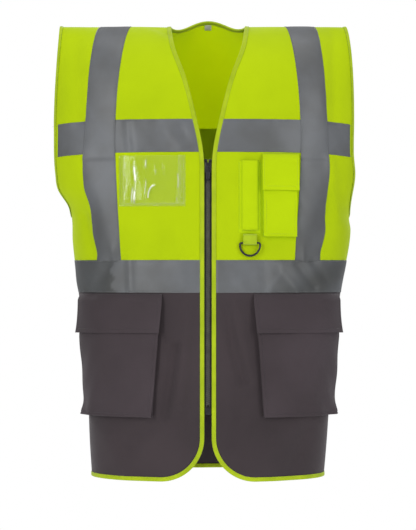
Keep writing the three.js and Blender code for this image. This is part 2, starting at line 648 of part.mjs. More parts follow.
addPair('cargo_pocket', pocket(CARGO, CLOTH, 8, 3), CHARCOAL);
addPair('cargo_loop_strip', fastener(CARGO, CARGO_FASTENER, 0), BLACK_CLOTH);
addPair('cargo_hook_strip', fastener(CARGO, CARGO_FASTENER, 1), BLACK_CLOTH);
addPair('cargo_flap', flapCover(CARGO, CARGO_FLAP, 10), CHARCOAL);

add('phone_pocket', pocket(PHONE, CLOTH, 3, 2), YELLOW);
add('phone_loop_strip', fastener(PHONE, PHONE_FASTENER, 0), LIME);
add('phone_hook_strip', fastener(PHONE, PHONE_FASTENER, 1), LIME);
add('phone_flap', flapCover(PHONE, PHONE_FLAP, 5), YELLOW);
add('pen_pocket', pocket(PEN, CLOTH, 2, 2), YELLOW);
add('id_window', mirrored(pocket(BADGE, BADGE_SHEET, 5, 2)), CLEAR);

// ---------- ring and its webbing loop ----------

const ringX = PEN.inner + PEN.width / 2;
const tabNear = ringX - RING_TAB.half;
const tabBack = skin(angleAt(tabNear, RING.drop), RING.drop, ON_CLOTH).y;
const foldOuter = RING_TAB.room + RING_TAB.thick;
const ringY = tabBack - foldOuter;

// The webbing goes down behind the bar, round it and back up to its seam, where it is pressed flat.
function loopOutline(radius, top, shoulder, gatherTo) {
  const shape = new THREE.Shape();
  shape.moveTo(radius, top);
  shape.lineTo(radius, 0);
  shape.absarc(0, 0, radius, 0, -Math.PI, true);
  shape.lineTo(-radius, shoulder);
  shape.lineTo(gatherTo, top);
  return shape;
}
// A loop outline drawn in depth and height, made into a solid that runs along x.
function loopSolid(shape, half) {
  const depth = { depth: 2 * half, bevelEnabled: false, curveSegments: 6 };
  const geometry = new THREE.ExtrudeGeometry(shape, depth)
    .translate(0, 0, -half).rotateX(Math.PI / 2).rotateZ(Math.PI / 2);
  return solid(geometry.translate(ringX, ringY, -RING.drop));
}
const tabHeight = RING.drop - RING_TAB.top;
const tabOutside = loopOutline(foldOuter, tabHeight, RING_TAB.shoulder,
  foldOuter - RING_TAB.seam * RING_TAB.thick);
const tabInside = loopOutline(RING_TAB.room, tabHeight - RING_TAB.room, RING_TAB.shoulder - GAP,
  RING_TAB.room - GAP);
add('ring_tab', fromSolid(loopSolid(tabOutside, RING_TAB.half)
  .subtract(loopSolid(tabInside, RING_TAB.half + OVERLAP))), YELLOW);

// The ring is a straight bar whose two short legs run into half an ellipse.
function ringOutline(half, top, bottom) {
  const shape = new THREE.Shape();
  shape.moveTo(-half, top);
  shape.lineTo(-half, -RING.straight);
  shape.absellipse(0, -RING.straight, half, -RING.straight - bottom, Math.PI, 2 * Math.PI);
  shape.lineTo(half, top);
  return shape;
}
const barHalf = RING.thick / 2;
const ringBottom = barHalf - RING.height;
const ringShape = ringOutline(RING.half, barHalf, ringBottom);
ringShape.holes.push(ringOutline(RING.half - RING.wire, -barHalf, ringBottom + RING.wire));
const ringDepth = { depth: RING.thick, bevelEnabled: false, curveSegments: 12 };
add('d_ring', new THREE.ExtrudeGeometry(ringShape, ringDepth)
  .rotateX(Math.PI / 2).translate(ringX, ringY + barHalf, -RING.drop), BLACK_PLASTIC);

// ---------- label inside the back neck ----------

const labelTop = napeRow + BINDING_WIDTH;
const labelLift = -2 * GAP - NECK_LABEL.thick;
const labelSide = angleAt(NECK_LABEL.width / 2, labelTop);
add('neck_label', strip(2, [labelTop, labelTop + NECK_LABEL.height], labelLift, NECK_LABEL.thick,
  () => Math.PI - labelSide, () => Math.PI + labelSide), LABEL_WHITE);

export default vest;
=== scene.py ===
"""A high visibility work vest in its worn shape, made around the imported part.

Sizes are in millimetres and become metres where a mesh is made. Places on the garment are given by
an angle a, from the centre front round the wearer's left to the centre back, and by a row r, which
is the drop below the shoulder ridge, or the arc over the shoulder in its first 150 mm."""

import math

import bmesh
import bpy
import numpy as np
from mathutils import Matrix, Vector


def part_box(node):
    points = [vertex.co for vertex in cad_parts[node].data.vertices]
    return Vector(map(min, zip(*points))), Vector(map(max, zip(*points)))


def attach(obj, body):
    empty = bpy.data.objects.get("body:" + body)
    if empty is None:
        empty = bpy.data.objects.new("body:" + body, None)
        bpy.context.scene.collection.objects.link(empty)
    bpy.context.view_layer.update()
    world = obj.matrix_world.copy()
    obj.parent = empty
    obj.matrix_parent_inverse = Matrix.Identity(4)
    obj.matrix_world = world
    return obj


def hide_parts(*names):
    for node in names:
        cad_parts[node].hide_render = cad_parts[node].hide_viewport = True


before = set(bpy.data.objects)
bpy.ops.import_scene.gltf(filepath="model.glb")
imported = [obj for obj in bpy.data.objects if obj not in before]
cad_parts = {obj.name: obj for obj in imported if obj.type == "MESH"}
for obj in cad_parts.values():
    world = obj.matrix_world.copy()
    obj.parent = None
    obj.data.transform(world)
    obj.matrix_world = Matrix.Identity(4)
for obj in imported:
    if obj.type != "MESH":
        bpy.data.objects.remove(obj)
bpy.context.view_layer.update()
MM = 0.001

# ---- The studio ------------------------------------------------------------------------------
# The vest hangs at the height at which it is worn, about 1.45 m up at the shoulders, over a pale
# floor disc in a white room. Large soft lamps stand in front, above and behind.

scene = bpy.context.scene
scene.view_settings.view_transform = "Standard"

camera_data = bpy.data.cameras.new("camera")
camera_data.sensor_width = 36
camera_data.lens = 137.6
camera = bpy.data.objects.new("camera", camera_data)
scene.collection.objects.link(camera)
camera.location = (0.0, -3.2, -0.3745)
camera.rotation_euler = (math.pi / 2, 0, 0)
scene.camera = camera


def lamp(name, place, aim, width, height, watts):
    data = bpy.data.lights.new(name, "AREA")
    data.shape = "RECTANGLE"
    data.size = width
    data.size_y = height
    data.energy = watts
    thing = bpy.data.objects.new(name, data)
    scene.collection.objects.link(thing)
    thing.location = place
    thing.rotation_euler = (Vector(aim) - Vector(place)).to_track_quat("-Z", "Y").to_euler()


lamp("key_lamp", (-1.6, -2.5, 0.4), (0, 0, -0.35), 0.8, 2.4, 31)
lamp("fill_lamp", (1.9, -2.4, 0.1), (0, 0, -0.4), 1.0, 2.2, 21)
lamp("top_lamp", (0.1, -0.3, 1.9), (0, 0, -0.3), 1.6, 1.6, 13)
lamp("left_back_lamp", (-1.5, 2.1, 1.1), (0, 0, -0.1), 1.4, 1.6, 33)
lamp("right_back_lamp", (1.5, 2.1, 0.9), (0, 0, -0.1), 1.4, 1.6, 29)

room = bpy.data.worlds.new("white_room")
room.use_nodes = True
scene.world = room
nodes, links = room.node_tree.nodes, room.node_tree.links
nodes.clear()
seen = nodes.new("ShaderNodeBackground")
seen.inputs["Color"].default_value = (1, 1, 1, 1)
seen.inputs["Strength"].default_value = 1.0
lighting = nodes.new("ShaderNodeBackground")
lighting.inputs["Color"].default_value = (0.93, 0.95, 1.0, 1)
lighting.inputs["Strength"].default_value = 0.42
path = nodes.new("ShaderNodeLightPath")
choose = nodes.new("ShaderNodeMixShader")
out = nodes.new("ShaderNodeOutputWorld")
links.new(path.outputs["Is Camera Ray"], choose.inputs["Fac"])
links.new(lighting.outputs[0], choose.inputs[1])
links.new(seen.outputs[0], choose.inputs[2])
links.new(choose.outputs[0], out.inputs["Surface"])

floor_mesh = bpy.data.meshes.new("floor")
shape = bmesh.new()
bmesh.ops.create_circle(shape, cap_ends=True, segments=64, radius=2.6)
bmesh.ops.translate(shape, verts=shape.verts, vec=(0, 0, -1.45))
shape.to_mesh(floor_mesh)
shape.free()
floor = bpy.data.objects.new("floor", floor_mesh)
scene.collection.objects.link(floor)
floor_paint = bpy.data.materials.new("pale_floor")
floor_paint.use_nodes = True
floor_base = floor_paint.node_tree.nodes["Principled BSDF"]
floor_base.inputs["Base Color"].default_value = (0.95, 0.95, 0.94, 1)
floor_base.inputs["Roughness"].default_value = 0.6
floor_mesh.materials.append(floor_paint)

# ---- The shape of the wearer -----------------------------------------------------------------
# The cloth lies over a rounded body: a flattened oval section at every height, a quarter turn over
# each shoulder and a small rise at the nape. Soft folds are part of the shape, so every layer that
# is sewn to the cloth folds with it.

LENGTH, UNDERARM, WAIST_TAPE, CROWN = 704, 295, 367, 150
FRONT_DEPTH, BACK_DEPTH, SECTION = 113, 106, 2.3
NECK_HALF, NECK_DROP, NAPE_RISE, NAPE_DEPTH = 59, 222, 26, 38
FRONT_EDGE, HEM_CORNER = 6.8, 66
ARMHOLE_OPEN, ARMHOLE_POWER = math.radians(24.5), 3.2
WAIST_SEAM = WAIST_TAPE + 25
SIDE = math.pi / 2


def through(points, t):
    """A smooth curve through a few points [t, value]."""
    knots, values = (np.array(side, float) for side in zip(*points))
    slopes = np.diff(values) / np.diff(knots)
    leans = np.concatenate([slopes[:1], (slopes[1:] + slopes[:-1]) / 2, slopes[-1:]])
    i = np.clip(np.searchsorted(knots, t, side="right") - 1, 0, len(knots) - 2)
    span = knots[i + 1] - knots[i]
    s = np.clip((t - knots[i]) / span, 0, 1)
    bend = span * s * (1 - s) * ((1 - s) * leans[i] - s * leans[i + 1])
    return values[i] + (values[i + 1] - values[i]) * s * s * (3 - 2 * s) + bend


def ease(t):
    s = np.clip(t, 0, 1)
    return s * s * (3 - 2 * s)


def mix(a, b, t):
    return a + (b - a) * t


def drop_at(r):
    return np.where(r >= CROWN, r, CROWN * (1 - np.cos(np.clip(r / CROWN, 0, 1) * SIDE)))


ARMHOLE_SHARE = math.sin(SIDE - ARMHOLE_OPEN) ** (2 / SECTION)


def half_width(r):
    return through([(0, 229 / ARMHOLE_SHARE), (CROWN, 235 / ARMHOLE_SHARE), (UNDERARM, 223),
                    (417, 206), (549, 191), (LENGTH, 182)], r)


def back_depth(r):
    return through([(0, BACK_DEPTH), (CROWN, BACK_DEPTH), (WAIST_TAPE, 97), (LENGTH, 111)], r)


def bare_body(a, r):
    s, c = np.sin(a), np.cos(a)
    x = half_width(r) * np.sign(s) * np.abs(s) ** (2 / SECTION)
    crown = np.clip(r / CROWN, 0, 1) * SIDE
    depth = np.where(c > 0, FRONT_DEPTH, back_depth(r))
    y = -depth * np.sign(c) * np.abs(c) ** (2 / SECTION) * np.sin(crown)
    nape = NAPE_RISE * np.cos(SIDE * np.clip(x / NECK_HALF, -1, 1)) ** 2 * np.cos(crown) ** 2
    return np.stack([x, y, np.where(c < 0, nape, 0) - drop_at(r)], -1)


def outward(a, r):
    top = np.maximum(r - 0.05, 0)
    across = bare_body(a + 1e-3, r) - bare_body(a - 1e-3, r)
    down = bare_body(a, top + 0.1) - bare_body(a, top)
    n = np.cross(down, across)
    return n / np.linalg.norm(n, axis=-1, keepdims=True)


# Each fold: where it starts and ends as (x, drop), how wide it is, and how high, or deep if minus.
FRONT_FOLDS = [
    ((-50, 500), (-66, 604), 7, -6.5), ((-24, 440), (-44, 585), 12, 6.5),
    ((-12, 560), (-34, 640), 12, -2.6), ((-66, 488), (-60, 522), 4, -2.2),
    ((-120, 655), (-86, 618), 13, -3.6), ((-150, 640), (-128, 690), 15, 2.8),
    ((22, 440), (55, 552), 8, -6.8), ((42, 436), (64, 560), 11, 4.6),
    ((14, 500), (30, 640), 12, 2.4), ((60, 556), (40, 646), 12, -3.6),
    ((100, 640), (60, 690), 16, 2.8), ((150, 630), (128, 690), 15, -2.6),
    ((24, 308), (44, 340), 8, -2.0), ((-80, 22), (-58, 48), 9, -3.0),
    ((-62, 60), (-34, 140), 18, 2.0), ((66, 50), (40, 150), 18, 2.0),
    ((-190, 215), (-150, 350), 18, 2.4), ((-196, 300), (-175, 356), 9, -3.4),
    ((196, 260), (168, 350), 16, -3.0), ((-64, 296), (-30, 360), 18, 2.0),
    ((-100, 330), (-60, 345), 14, -1.4), ((-205, 60), (-200, 150), 12, -2.0),
    ((207, 40), (203, 150), 12, -2.0), ((190, 214), (200, 300), 9, 2.6),
    ((-124, 158), (-120, 200), 5, -1.8), ((-42, 164), (-24, 196), 5, -2.0),
    ((-58, 172), (-36, 204), 6, 1.3), ((138, 374), (164, 408), 6, -2.6),
    ((162, 370), (186, 404), 6, -2.4), ((108, 384), (136, 414), 7, 1.8),
    ((-119, 360), (-118, 424), 5, 2.6), ((-150, 366), (-178, 420), 9, -2.6),
    ((-28, 374), (-16, 412), 6, -1.8), ((84, 366), (87, 420), 6, 1.8),
    ((30, 372), (58, 412), 9, -1.5),
]
BACK_FOLDS = [
    ((-150, 230), (-60, 400), 22, -3.5), ((140, 240), (70, 420), 22, -3.5),
    ((-30, 60), (-90, 240), 26, 2.4), ((40, 80), (80, 260), 26, 2.4),
    ((-100, 420), (-120, 690), 24, 4.0), ((-20, 450), (-14, 700), 22, -4.0),
    ((70, 430), (90, 700), 24, 4.2), ((150, 450), (158, 690), 18, -3.5),
    ((-165, 470), (-170, 690), 16, -3.0), ((0, 200), (10, 380), 30, -2.5),
]


def fold_sum(folds, x, drop):
    total = np.zeros(np.shape(x))
    for (x0, d0), (x1, d1), width, height in folds:
        run = (x1 - x0) ** 2 + (d1 - d0) ** 2
        t = np.clip(((x - x0) * (x1 - x0) + (drop - d0) * (d1 - d0)) / run, 0, 1)
        far = (x - mix(x0, x1, t)) ** 2 + (drop - mix(d0, d1, t)) ** 2
        total = total + height * np.exp(-far / width**2)
    return total


def folds(a, r):
    """How far the cloth stands proud of the body or sinks in, in millimetres."""
    x, front = bare_body(a, r)[..., 0], np.cos(a) > 0
    ripple = 0.9 * np.sin(x / 31 + r / 47) * np.sin(r / 61 - x / 83 + 1)
    ripple = ripple + 0.5 * np.sin(x / 17 - r / 29 + 2)
    by_side = ease(np.abs(np.cos(a)) / 0.3)
    made = np.where(front, fold_sum(FRONT_FOLDS, x, r), fold_sum(BACK_FOLDS, x, r))
    made = made * by_side + ripple
    by_zip = np.where(front, ease((np.abs(x) - 16) / 22), 1.0)
    by_ring = 1 - np.where(front, np.exp(-((x - 64) ** 2 + (r - 345) ** 2) / 26**2), 0)
    from_side = np.abs(np.abs(np.mod(a + math.pi, 2 * math.pi) - math.pi) - SIDE) * 150
    side_seam = -1.6 * np.exp(-((from_side / 4) ** 2))
    ridge = ease((r + 12) / 40)
    return made * by_zip * by_ring * ridge + np.where(r > UNDERARM + 3, side_seam, 0)


LEFT_HANG = [(0, -12), (150, -11), (200, -7), (235, 0), (300, 0), (320, 6), (410, 3), (600, 6),
             (LENGTH, 0)]
RIGHT_HANG = [(0, -4), (60, 0), (165, -1), (232, -9), (256, -9), (286, 6), (340, 4), (420, 3),
              (580, 2), (LENGTH, -1)]


def hang(x, r):
    """The vest hangs a little askew: how far each side lies from an even fit, in millimetres."""
    shift = np.where(x > 0, through(LEFT_HANG, r), through(RIGHT_HANG, r))
    return shift * ease((np.abs(x) - 150) / 75)


def on_body(a, r, lift=0.0):
    place = bare_body(a, r)
    place[..., 0] += hang(place[..., 0], r + 0 * a)
    return place + outward(a, r) * (lift + folds(a, r))[..., None]


def angle_at(x, r):
    return np.arcsin(np.clip(x / half_width(r), 0, 1) ** (SECTION / 2))


def walk(a, r, distance):
    """The angle reached by going a distance round the body from angle a, along row r."""
    for _ in range(8):
        rate = np.linalg.norm(bare_body(a + 1e-3, r) - bare_body(a - 1e-3, r), axis=-1) / 2e-3
        a = a + distance / 8 / rate
    return a


def neck_half(drop):
    return through([(0, NECK_HALF), (0.17 * NECK_DROP, 0.9 * NECK_HALF),
                    (0.39 * NECK_DROP, 0.6 * NECK_HALF), (0.66 * NECK_DROP, 0.33 * NECK_HALF),
                    (0.88 * NECK_DROP, FRONT_EDGE + 2.5), (NECK_DROP, FRONT_EDGE)], drop)


def front_edge(r):
    rise = np.clip((r - (LENGTH - HEM_CORNER)) / HEM_CORNER, 0, 1)
    round_corner = FRONT_EDGE + HEM_CORNER * (1 - np.sqrt(1 - rise**2))
    return angle_at(np.where(r < NECK_DROP, neck_half(drop_at(r)), round_corner), r)


def armhole_gap(r):
    return ARMHOLE_OPEN * np.sqrt(1 - np.clip(r / UNDERARM, 0, 1) ** ARMHOLE_POWER)


def front_side(r):
    return SIDE - armhole_gap(r)


def back_side(r):
    return SIDE + armhole_gap(r)


# ---- Front and back panels -------------------------------------------------------------------
# Six panels of woven polyester: fluorescent yellow above the waist, charcoal below. They are cut
# flat, joined at the shoulders, the sides and under the waist tape, and shaped by the body.

CLOTH_FACE = 0.9


def material(name, colour, roughness, specular=0.3, sheen=0.0):
    made = bpy.data.materials.new(name)
    made.use_nodes = True
    base = made.node_tree.nodes["Principled BSDF"]
    base.inputs["Base Color"].default_value = (*colour, 1)
    base.inputs["Roughness"].default_value = roughness
    base.inputs["Specular IOR Level"].default_value = specular
    base.inputs["Sheen Weight"].default_value = sheen
    base.inputs["Sheen Roughness"].default_value = 0.5
    return made


def tinted(made, colour, other, scale=9.0, strength=1.0):
    """Lets the colour drift softly between two shades over the cloth."""
    nodes, links = made.node_tree.nodes, made.node_tree.links
    place = nodes.new("ShaderNodeTexCoord")
    drift = nodes.new("ShaderNodeTexNoise")
    drift.inputs["Scale"].default_value = scale
    drift.inputs["Detail"].default_value = 4
    blend = nodes.new("ShaderNodeMix")
    blend.data_type = "RGBA"
    blend.inputs["A"].default_value = (*colour, 1)
    blend.inputs["B"].default_value = (*other, 1)
    spread = nodes.new("ShaderNodeMapRange")
    spread.inputs["From Min"].default_value = 0.5 - 0.18 / strength
    spread.inputs["From Max"].default_value = 0.5 + 0.18 / strength
    links.new(place.outputs["Object"], drift.inputs["Vector"])
    links.new(drift.outputs["Fac"], spread.inputs["Value"])
    links.new(spread.outputs["Result"], blend.inputs["Factor"])
    links.new(blend.outputs["Result"], nodes["Principled BSDF"].inputs["Base Color"])


def woven(made, across=0.8, along=0.8, depth=0.12, turn=0.0, strength=0.5, fuzz=0.15):
    """Threads that cross at a given pitch in millimetres, as relief on the cloth's own map."""
    nodes, links = made.node_tree.nodes, made.node_tree.links
    place = nodes.new("ShaderNodeUVMap")
    place.uv_map = "cut"
    turned = nodes.new("ShaderNodeMapping")
    turned.inputs["Rotation"].default_value = (0, 0, turn)
    links.new(place.outputs["UV"], turned.inputs["Vector"])
    threads = []
    for pitch, way in ((across, "X"), (along, "Y")):
        wave = nodes.new("ShaderNodeTexWave")
        wave.bands_direction = way
        wave.inputs["Scale"].default_value = 0.314 / (pitch * MM)
        wave.inputs["Distortion"].default_value = 0.6
        wave.inputs["Detail"].default_value = 1
        links.new(turned.outputs["Vector"], wave.inputs["Vector"])
        threads.append(wave)
    crossing = nodes.new("ShaderNodeMath")
    crossing.operation = "MULTIPLY"
    links.new(threads[0].outputs["Fac"], crossing.inputs[0])
    links.new(threads[1].outputs["Fac"], crossing.inputs[1])
    hairs = nodes.new("ShaderNodeTexNoise")
    hairs.inputs["Scale"].default_value = 900
    hairs.inputs["Detail"].default_value = 3
    links.new(place.outputs["UV"], hairs.inputs["Vector"])
    total = nodes.new("ShaderNodeMath")
    total.operation = "MULTIPLY_ADD"
    total.inputs[1].default_value = fuzz
    links.new(hairs.outputs["Fac"], total.inputs[0])
    links.new(crossing.outputs[0], total.inputs[2])
    relief = nodes.new("ShaderNodeBump")
    relief.inputs["Strength"].default_value = strength
    relief.inputs["Distance"].default_value = depth * MM
    links.new(total.outputs[0], relief.inputs["Height"])
    links.new(relief.outputs["Normal"], nodes["Principled BSDF"].inputs["Normal"])


YELLOW_SHADES = (0.525, 0.695, 0.001), (0.465, 0.625, 0.001)
yellow_cloth = material("yellow_polyester", YELLOW_SHADES[0], 0.75, 0.1, 0.06)
tinted(yellow_cloth, *YELLOW_SHADES)
woven(yellow_cloth)
back_yellow_cloth = material("yellow_polyester_against_the_light", YELLOW_SHADES[0], 0.75, 0.1,
                             0.06)
tinted(back_yellow_cloth, *YELLOW_SHADES)
woven(back_yellow_cloth)
back_base = back_yellow_cloth.node_tree.nodes["Principled BSDF"]
back_base.inputs["Subsurface Weight"].default_value = 0.85
back_base.inputs["Subsurface Radius"].default_value = (1.0, 1.0, 0.2)
back_base.inputs["Subsurface Scale"].default_value = 2.4 * MM
CHARCOAL_SHADES = (0.058, 0.043, 0.047), (0.044, 0.033, 0.036)
charcoal_cloth = material("charcoal_polyester", CHARCOAL_SHADES[0], 0.78, 0.25, 0.15)
tinted(charcoal_cloth, *CHARCOAL_SHADES, scale=7)
woven(charcoal_cloth, turn=math.radians(45), depth=0.15)


def cloth(name, across, down, at, finish, thick=0.5, shade=None):
    """A sheet divided at the stops across and down, each from 0 to 1, whose outer face is at(u, v).
    It gets its thickness inwards, and a map in metres of the flat cut. shade(u, v), if given, is
    kept on its points for the material to read, as painted shade or painted highlights."""
    across, down = np.asarray(across, float), np.asarray(down, float)
    shape = bmesh.new()
    bmesh.ops.create_grid(shape, x_segments=len(across) - 1, y_segments=len(down) - 1, size=0.5)
    mesh = bpy.data.meshes.new(name)
    shape.to_mesh(mesh)
    shape.free()
    flat = np.empty(len(mesh.vertices) * 3)
    mesh.vertices.foreach_get("co", flat)
    flat = flat.reshape(-1, 3)
    column = np.rint((flat[:, 0] + 0.5) * (len(across) - 1)).astype(int)
    row = np.rint((0.5 - flat[:, 1]) * (len(down) - 1)).astype(int)
    u, v = np.meshgrid(across, down)
    places = at(u, v) * MM
    mesh.vertices.foreach_set("co", places[row, column].ravel())
    wide = np.linalg.norm(np.diff(places, axis=1), axis=2)
    tall = np.linalg.norm(np.diff(places, axis=0), axis=2)
    run = np.concatenate([np.zeros((len(down), 1)), np.cumsum(wide, axis=1)], axis=1)
    fall = np.concatenate([np.zeros((1, len(across))), np.cumsum(tall, axis=0)], axis=0)
    run = run - run[:, -1:] / 2
    corners = np.empty(len(mesh.loops), int)
    mesh.loops.foreach_get("vertex_index", corners)
    cut = mesh.uv_layers.new(name="cut")
    map_places = np.stack([run[row, column][corners], -fall[row, column][corners]], -1)
    cut.data.foreach_set("uv", map_places.ravel())
    if shade:
        kept = mesh.attributes.new("shade", "FLOAT", "POINT")
        kept.data.foreach_set("value", np.broadcast_to(shade(u, v), u.shape)[row, column].ravel())
    middle = places[:-1, :-1]
    faces = np.cross(places[:-1, 1:] - middle, places[1:, :-1] - middle)
    axis = middle.copy()
    axis[..., 2] = np.maximum(middle[..., 2] + 0.15, 0) * 2
    if (faces[:1] * axis[:1]).sum() > 0:
        mesh.flip_normals()
    mesh.shade_smooth()
    piece = bpy.data.objects.new(name, mesh)
    scene.collection.objects.link(piece)
    mesh.materials.append(finish)
    if thick:
        wall = piece.modifiers.new("thickness", "SOLIDIFY")
        wall.thickness = thick * MM
        wall.offset = -1
    diagonal = np.cross(places[1:, 1:] - middle, places[:-1, 1:] - places[1:, :-1])
    piece["cut_size"] = (float(run[:, -1].max() * 2), float(fall[-1].max()))
    piece["cut_area"] = float(np.linalg.norm(diagonal, axis=2).sum() / 2)
    return piece


def sewn(piece, node, body="vest"):
    """A cut piece of cloth that stands for a CAD node of the same part."""
    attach(piece, body)
    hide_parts(*([node] if isinstance(node, str) else node))


def sided(side, angle):
    """The angle on the wearer's left for side 1, or on the right for side -1."""
    return lambda u, r: side * angle(u if side > 0 else 1 - u, r)


RIDGE = 0.3
underarm_turns = UNDERARM * np.sin(np.linspace(0.98, 1.5, 14)) ** (2 / ARMHOLE_POWER)
upper_rows = np.unique(np.concatenate([np.arange(RIDGE, 262, 3.4), underarm_turns, [UNDERARM],
                                       np.arange(UNDERARM + 3, WAIST_SEAM, 3.2), [WAIST_SEAM]]))
corner_turns = LENGTH - HEM_CORNER + HEM_CORNER * np.sin(np.linspace(0.1, SIDE, 26))
lower_rows = np.concatenate([np.arange(WAIST_SEAM, LENGTH - HEM_CORNER, 3.4), corner_turns])


def front_panel(side, rows):
    angle = sided(side, lambda u, r: mix(front_edge(r), front_side(r), u))
    shares = (rows - rows[0]) / (rows[-1] - rows[0])

    def at(u, v):
        r = mix(rows[0], rows[-1], v)
        return on_body(angle(u, r), r, CLOTH_FACE + 0 * r)

    return np.linspace(0, 1, 70), shares, at


nape_row = CROWN * math.acos(math.sqrt(1 - (NAPE_DEPTH / BACK_DEPTH) ** 2)) / SIDE


def neck_row(x):
    return RIDGE + nape_row * np.sqrt(np.clip(1 - (x / NECK_HALF) ** 2, 0, 1))


def back_panel(rows, scooped):
    shares = (rows - rows[0]) / (rows[-1] - rows[0])

    def at(u, v):
        reach = mix(rows[0], rows[-1], v)
        ridge = 0 * reach + RIDGE
        ends = back_side(ridge)
        x = bare_body(mix(ends, 2 * math.pi - ends, u), ridge)[..., 0]
        r = reach + (neck_row(x) - rows[0]) * (1 - ease(reach / CROWN)) if scooped else reach
        side = back_side(r)
        return on_body(mix(side, 2 * math.pi - side, u), r, CLOTH_FACE + 0 * r)

    return np.linspace(0, 1, 150), shares, at


for side, hand in ((1, "left"), (-1, "right")):
    piece = cloth(f"{hand}_front_yoke", *front_panel(side, upper_rows), yellow_cloth)
    sewn(piece, f"{hand}_front_upper_panel")
    piece = cloth(f"{hand}_front_skirt", *front_panel(side, lower_rows), charcoal_cloth)
    sewn(piece, f"{hand}_front_lower_panel")
piece = cloth("back_yoke", *back_panel(upper_rows, True), back_yellow_cloth)
sewn(piece, "back_upper_panel")
piece = cloth("back_skirt", *back_panel(np.arange(WAIST_SEAM, LENGTH + 1, 3.4), False), charcoal_cloth)
sewn(piece, "back_lower_panel")

# ---- Reflective tapes ------------------------------------------------------------------------
# Glass bead tape on a cotton backing, 50 mm wide, stitched down along both edges. Bands go round
# the chest and the waist, and two braces run over the shoulders and end at the waist band.

TAPE_FACE, OVER_TAPE, TAPE_WIDTH = 1.45, 2.0, 50
silver_tape = material("silver_bead_tape", (0.165, 0.172, 0.178), 0.45, 0.45)
silver_tape.node_tree.nodes["Principled BSDF"].inputs["Metallic"].default_value = 0.2


def shaded(made, dimmed):
    """Painted shade: turns the base colour down to a share where the sheet's stored shade is 1."""
    nodes, links = made.node_tree.nodes, made.node_tree.links
    kept = nodes.new("ShaderNodeAttribute")
    kept.attribute_name = "shade"
    dim = nodes.new("ShaderNodeMix")
    dim.data_type = "RGBA"
    dim.blend_type = "MULTIPLY"
    dim.inputs["B"].default_value = (*dimmed, 1)
    base = nodes["Principled BSDF"].inputs["Base Color"]
    links.new(base.links[0].from_socket, dim.inputs["A"])
    links.new(kept.outputs["Fac"], dim.inputs["Factor"])
    links.new(dim.outputs["Result"], base)


tinted(silver_tape, (0.160, 0.167, 0.175), (0.130, 0.133, 0.133), scale=16, strength=1.3)
# The tape's painted shade: darker on the waist bands' outer parts and on the braces' lower halves.
shaded(silver_tape, (0.60, 0.60, 0.58))
woven(silver_tape, 1.1, 1.1, depth=0.05, strength=0.35, turn=math.radians(45), fuzz=0.6)


def creases(along, across, seed, size=0.6):
    """Puckers that the stitching draws up along both edges, and a few slack creases between."""
    rim = np.exp(-np.minimum(across, 1 - across) * 9)
    wobble = np.sin(along / 5.3 + 1.7 * np.sin(along / 13 + seed) + seed)
    slack = np.sin(along / 19 + 5 * across * np.sin(seed + along / 90) + 2 * seed)
    slack = 0.8 * slack + 0.5 * np.sin(along / 9 - 4 * across + seed)
    made = size * (rim * 0.7 * wobble + (1 - rim) * slack)
    return np.maximum(made, -0.22)


def tape_lift(across, base):
    """A tape is nipped down by the stitches 2 mm from its edges."""
    edge = np.minimum(across, 1 - across) * TAPE_WIDTH
    return base - 0.16 * np.exp(-((edge - 2) ** 2) / 1.2) + 0.25 * ease(edge / 12)


TAPE_ACROSS = np.concatenate([[0, 0.02, 0.04, 0.06], np.linspace(0.09, 0.91, 14),
                              [0.94, 0.96, 0.98, 1]])


def band(name, node, start, end, top, sag, seed, columns, shade=None):
    """A band round the body from one angle to another, whose ends lie flat under what covers them."""

    def at(u, v):
        middle = top + TAPE_WIDTH / 2 + 0 * u
        a = mix(start(middle), end(middle), u)
        r = top + sag * np.sin(a) ** 4 + TAPE_WIDTH * v
        a = mix(start(r), end(r), u)
        along = u * columns * 4
        slack = ease((np.minimum(u, 1 - u) * columns * 4 - 5) / 10)
        return on_body(a, r, TAPE_FACE - 0.05 + slack * (tape_lift(v, 0.05) + creases(along, v, seed)))

    piece = cloth(name, np.linspace(0, 1, columns), TAPE_ACROSS, at, silver_tape,
                  thick=0.35, shade=shade)
    sewn(piece, node)


CHEST_TOP, CHEST_SAG = 152, 7
FROM_ZIP, FROM_ARM = 2.5, 9


def left_waist_painted_shade(u, v):
    """Painted shade where the waist band turns from the light on the wearer's left."""
    return ease((u - 0.27 - 0.03 * np.sin(5 * v)) / 0.03) * (0.75 + 0.25 * np.sin(9 * u + 4 * v))


def right_waist_painted_shade(u, v):
    """The same painted shade on the wearer's right."""
    return ease((0.555 - u + 0.015 * np.sin(14 * v)) / 0.02)


for side, hand in ((1, "left"), (-1, "right")):
    at_zip = lambda r: side * walk(front_edge(r), r, FROM_ZIP)
    at_arm = lambda r: side * walk(front_side(r), r, -FROM_ARM)
    at_side = lambda r: side * front_side(r)
    # The waist band's painted shade.
    turned = left_waist_painted_shade if side > 0 else right_waist_painted_shade
    band(f"{hand}_chest_band", f"{hand}_chest_tape", *(at_zip, at_arm)[::side], CHEST_TOP, CHEST_SAG,
         seed=side * 1.3, columns=60)
    band(f"{hand}_waist_band", f"{hand}_waist_tape", *(at_zip, at_side)[::side], WAIST_TAPE, 0,
         seed=side * 2.1 + 4, columns=64, shade=turned)
band("back_chest_band", "back_chest_tape", lambda r: walk(back_side(r), r, FROM_ARM),
     lambda r: 2 * math.pi - walk(back_side(r), r, FROM_ARM), CHEST_TOP, CHEST_SAG,
     seed=0.6, columns=120)
band("back_waist_band", "back_waist_tape", back_side, lambda r: 2 * math.pi - back_side(r),
     WAIST_TAPE, 0, seed=3.3, columns=130)

BRACE_END = WAIST_TAPE + 1.5
BRACE_INNER = [(0, 119), (CHEST_TOP, 141), (WAIST_TAPE, 133)]
brace_half = np.concatenate([np.arange(2, 138, 3.5), np.arange(138, 222, 2.2),
                             np.arange(224, BRACE_END, 3.5), [BRACE_END]])
brace_rows = np.concatenate([-brace_half[::-1], [0], brace_half])


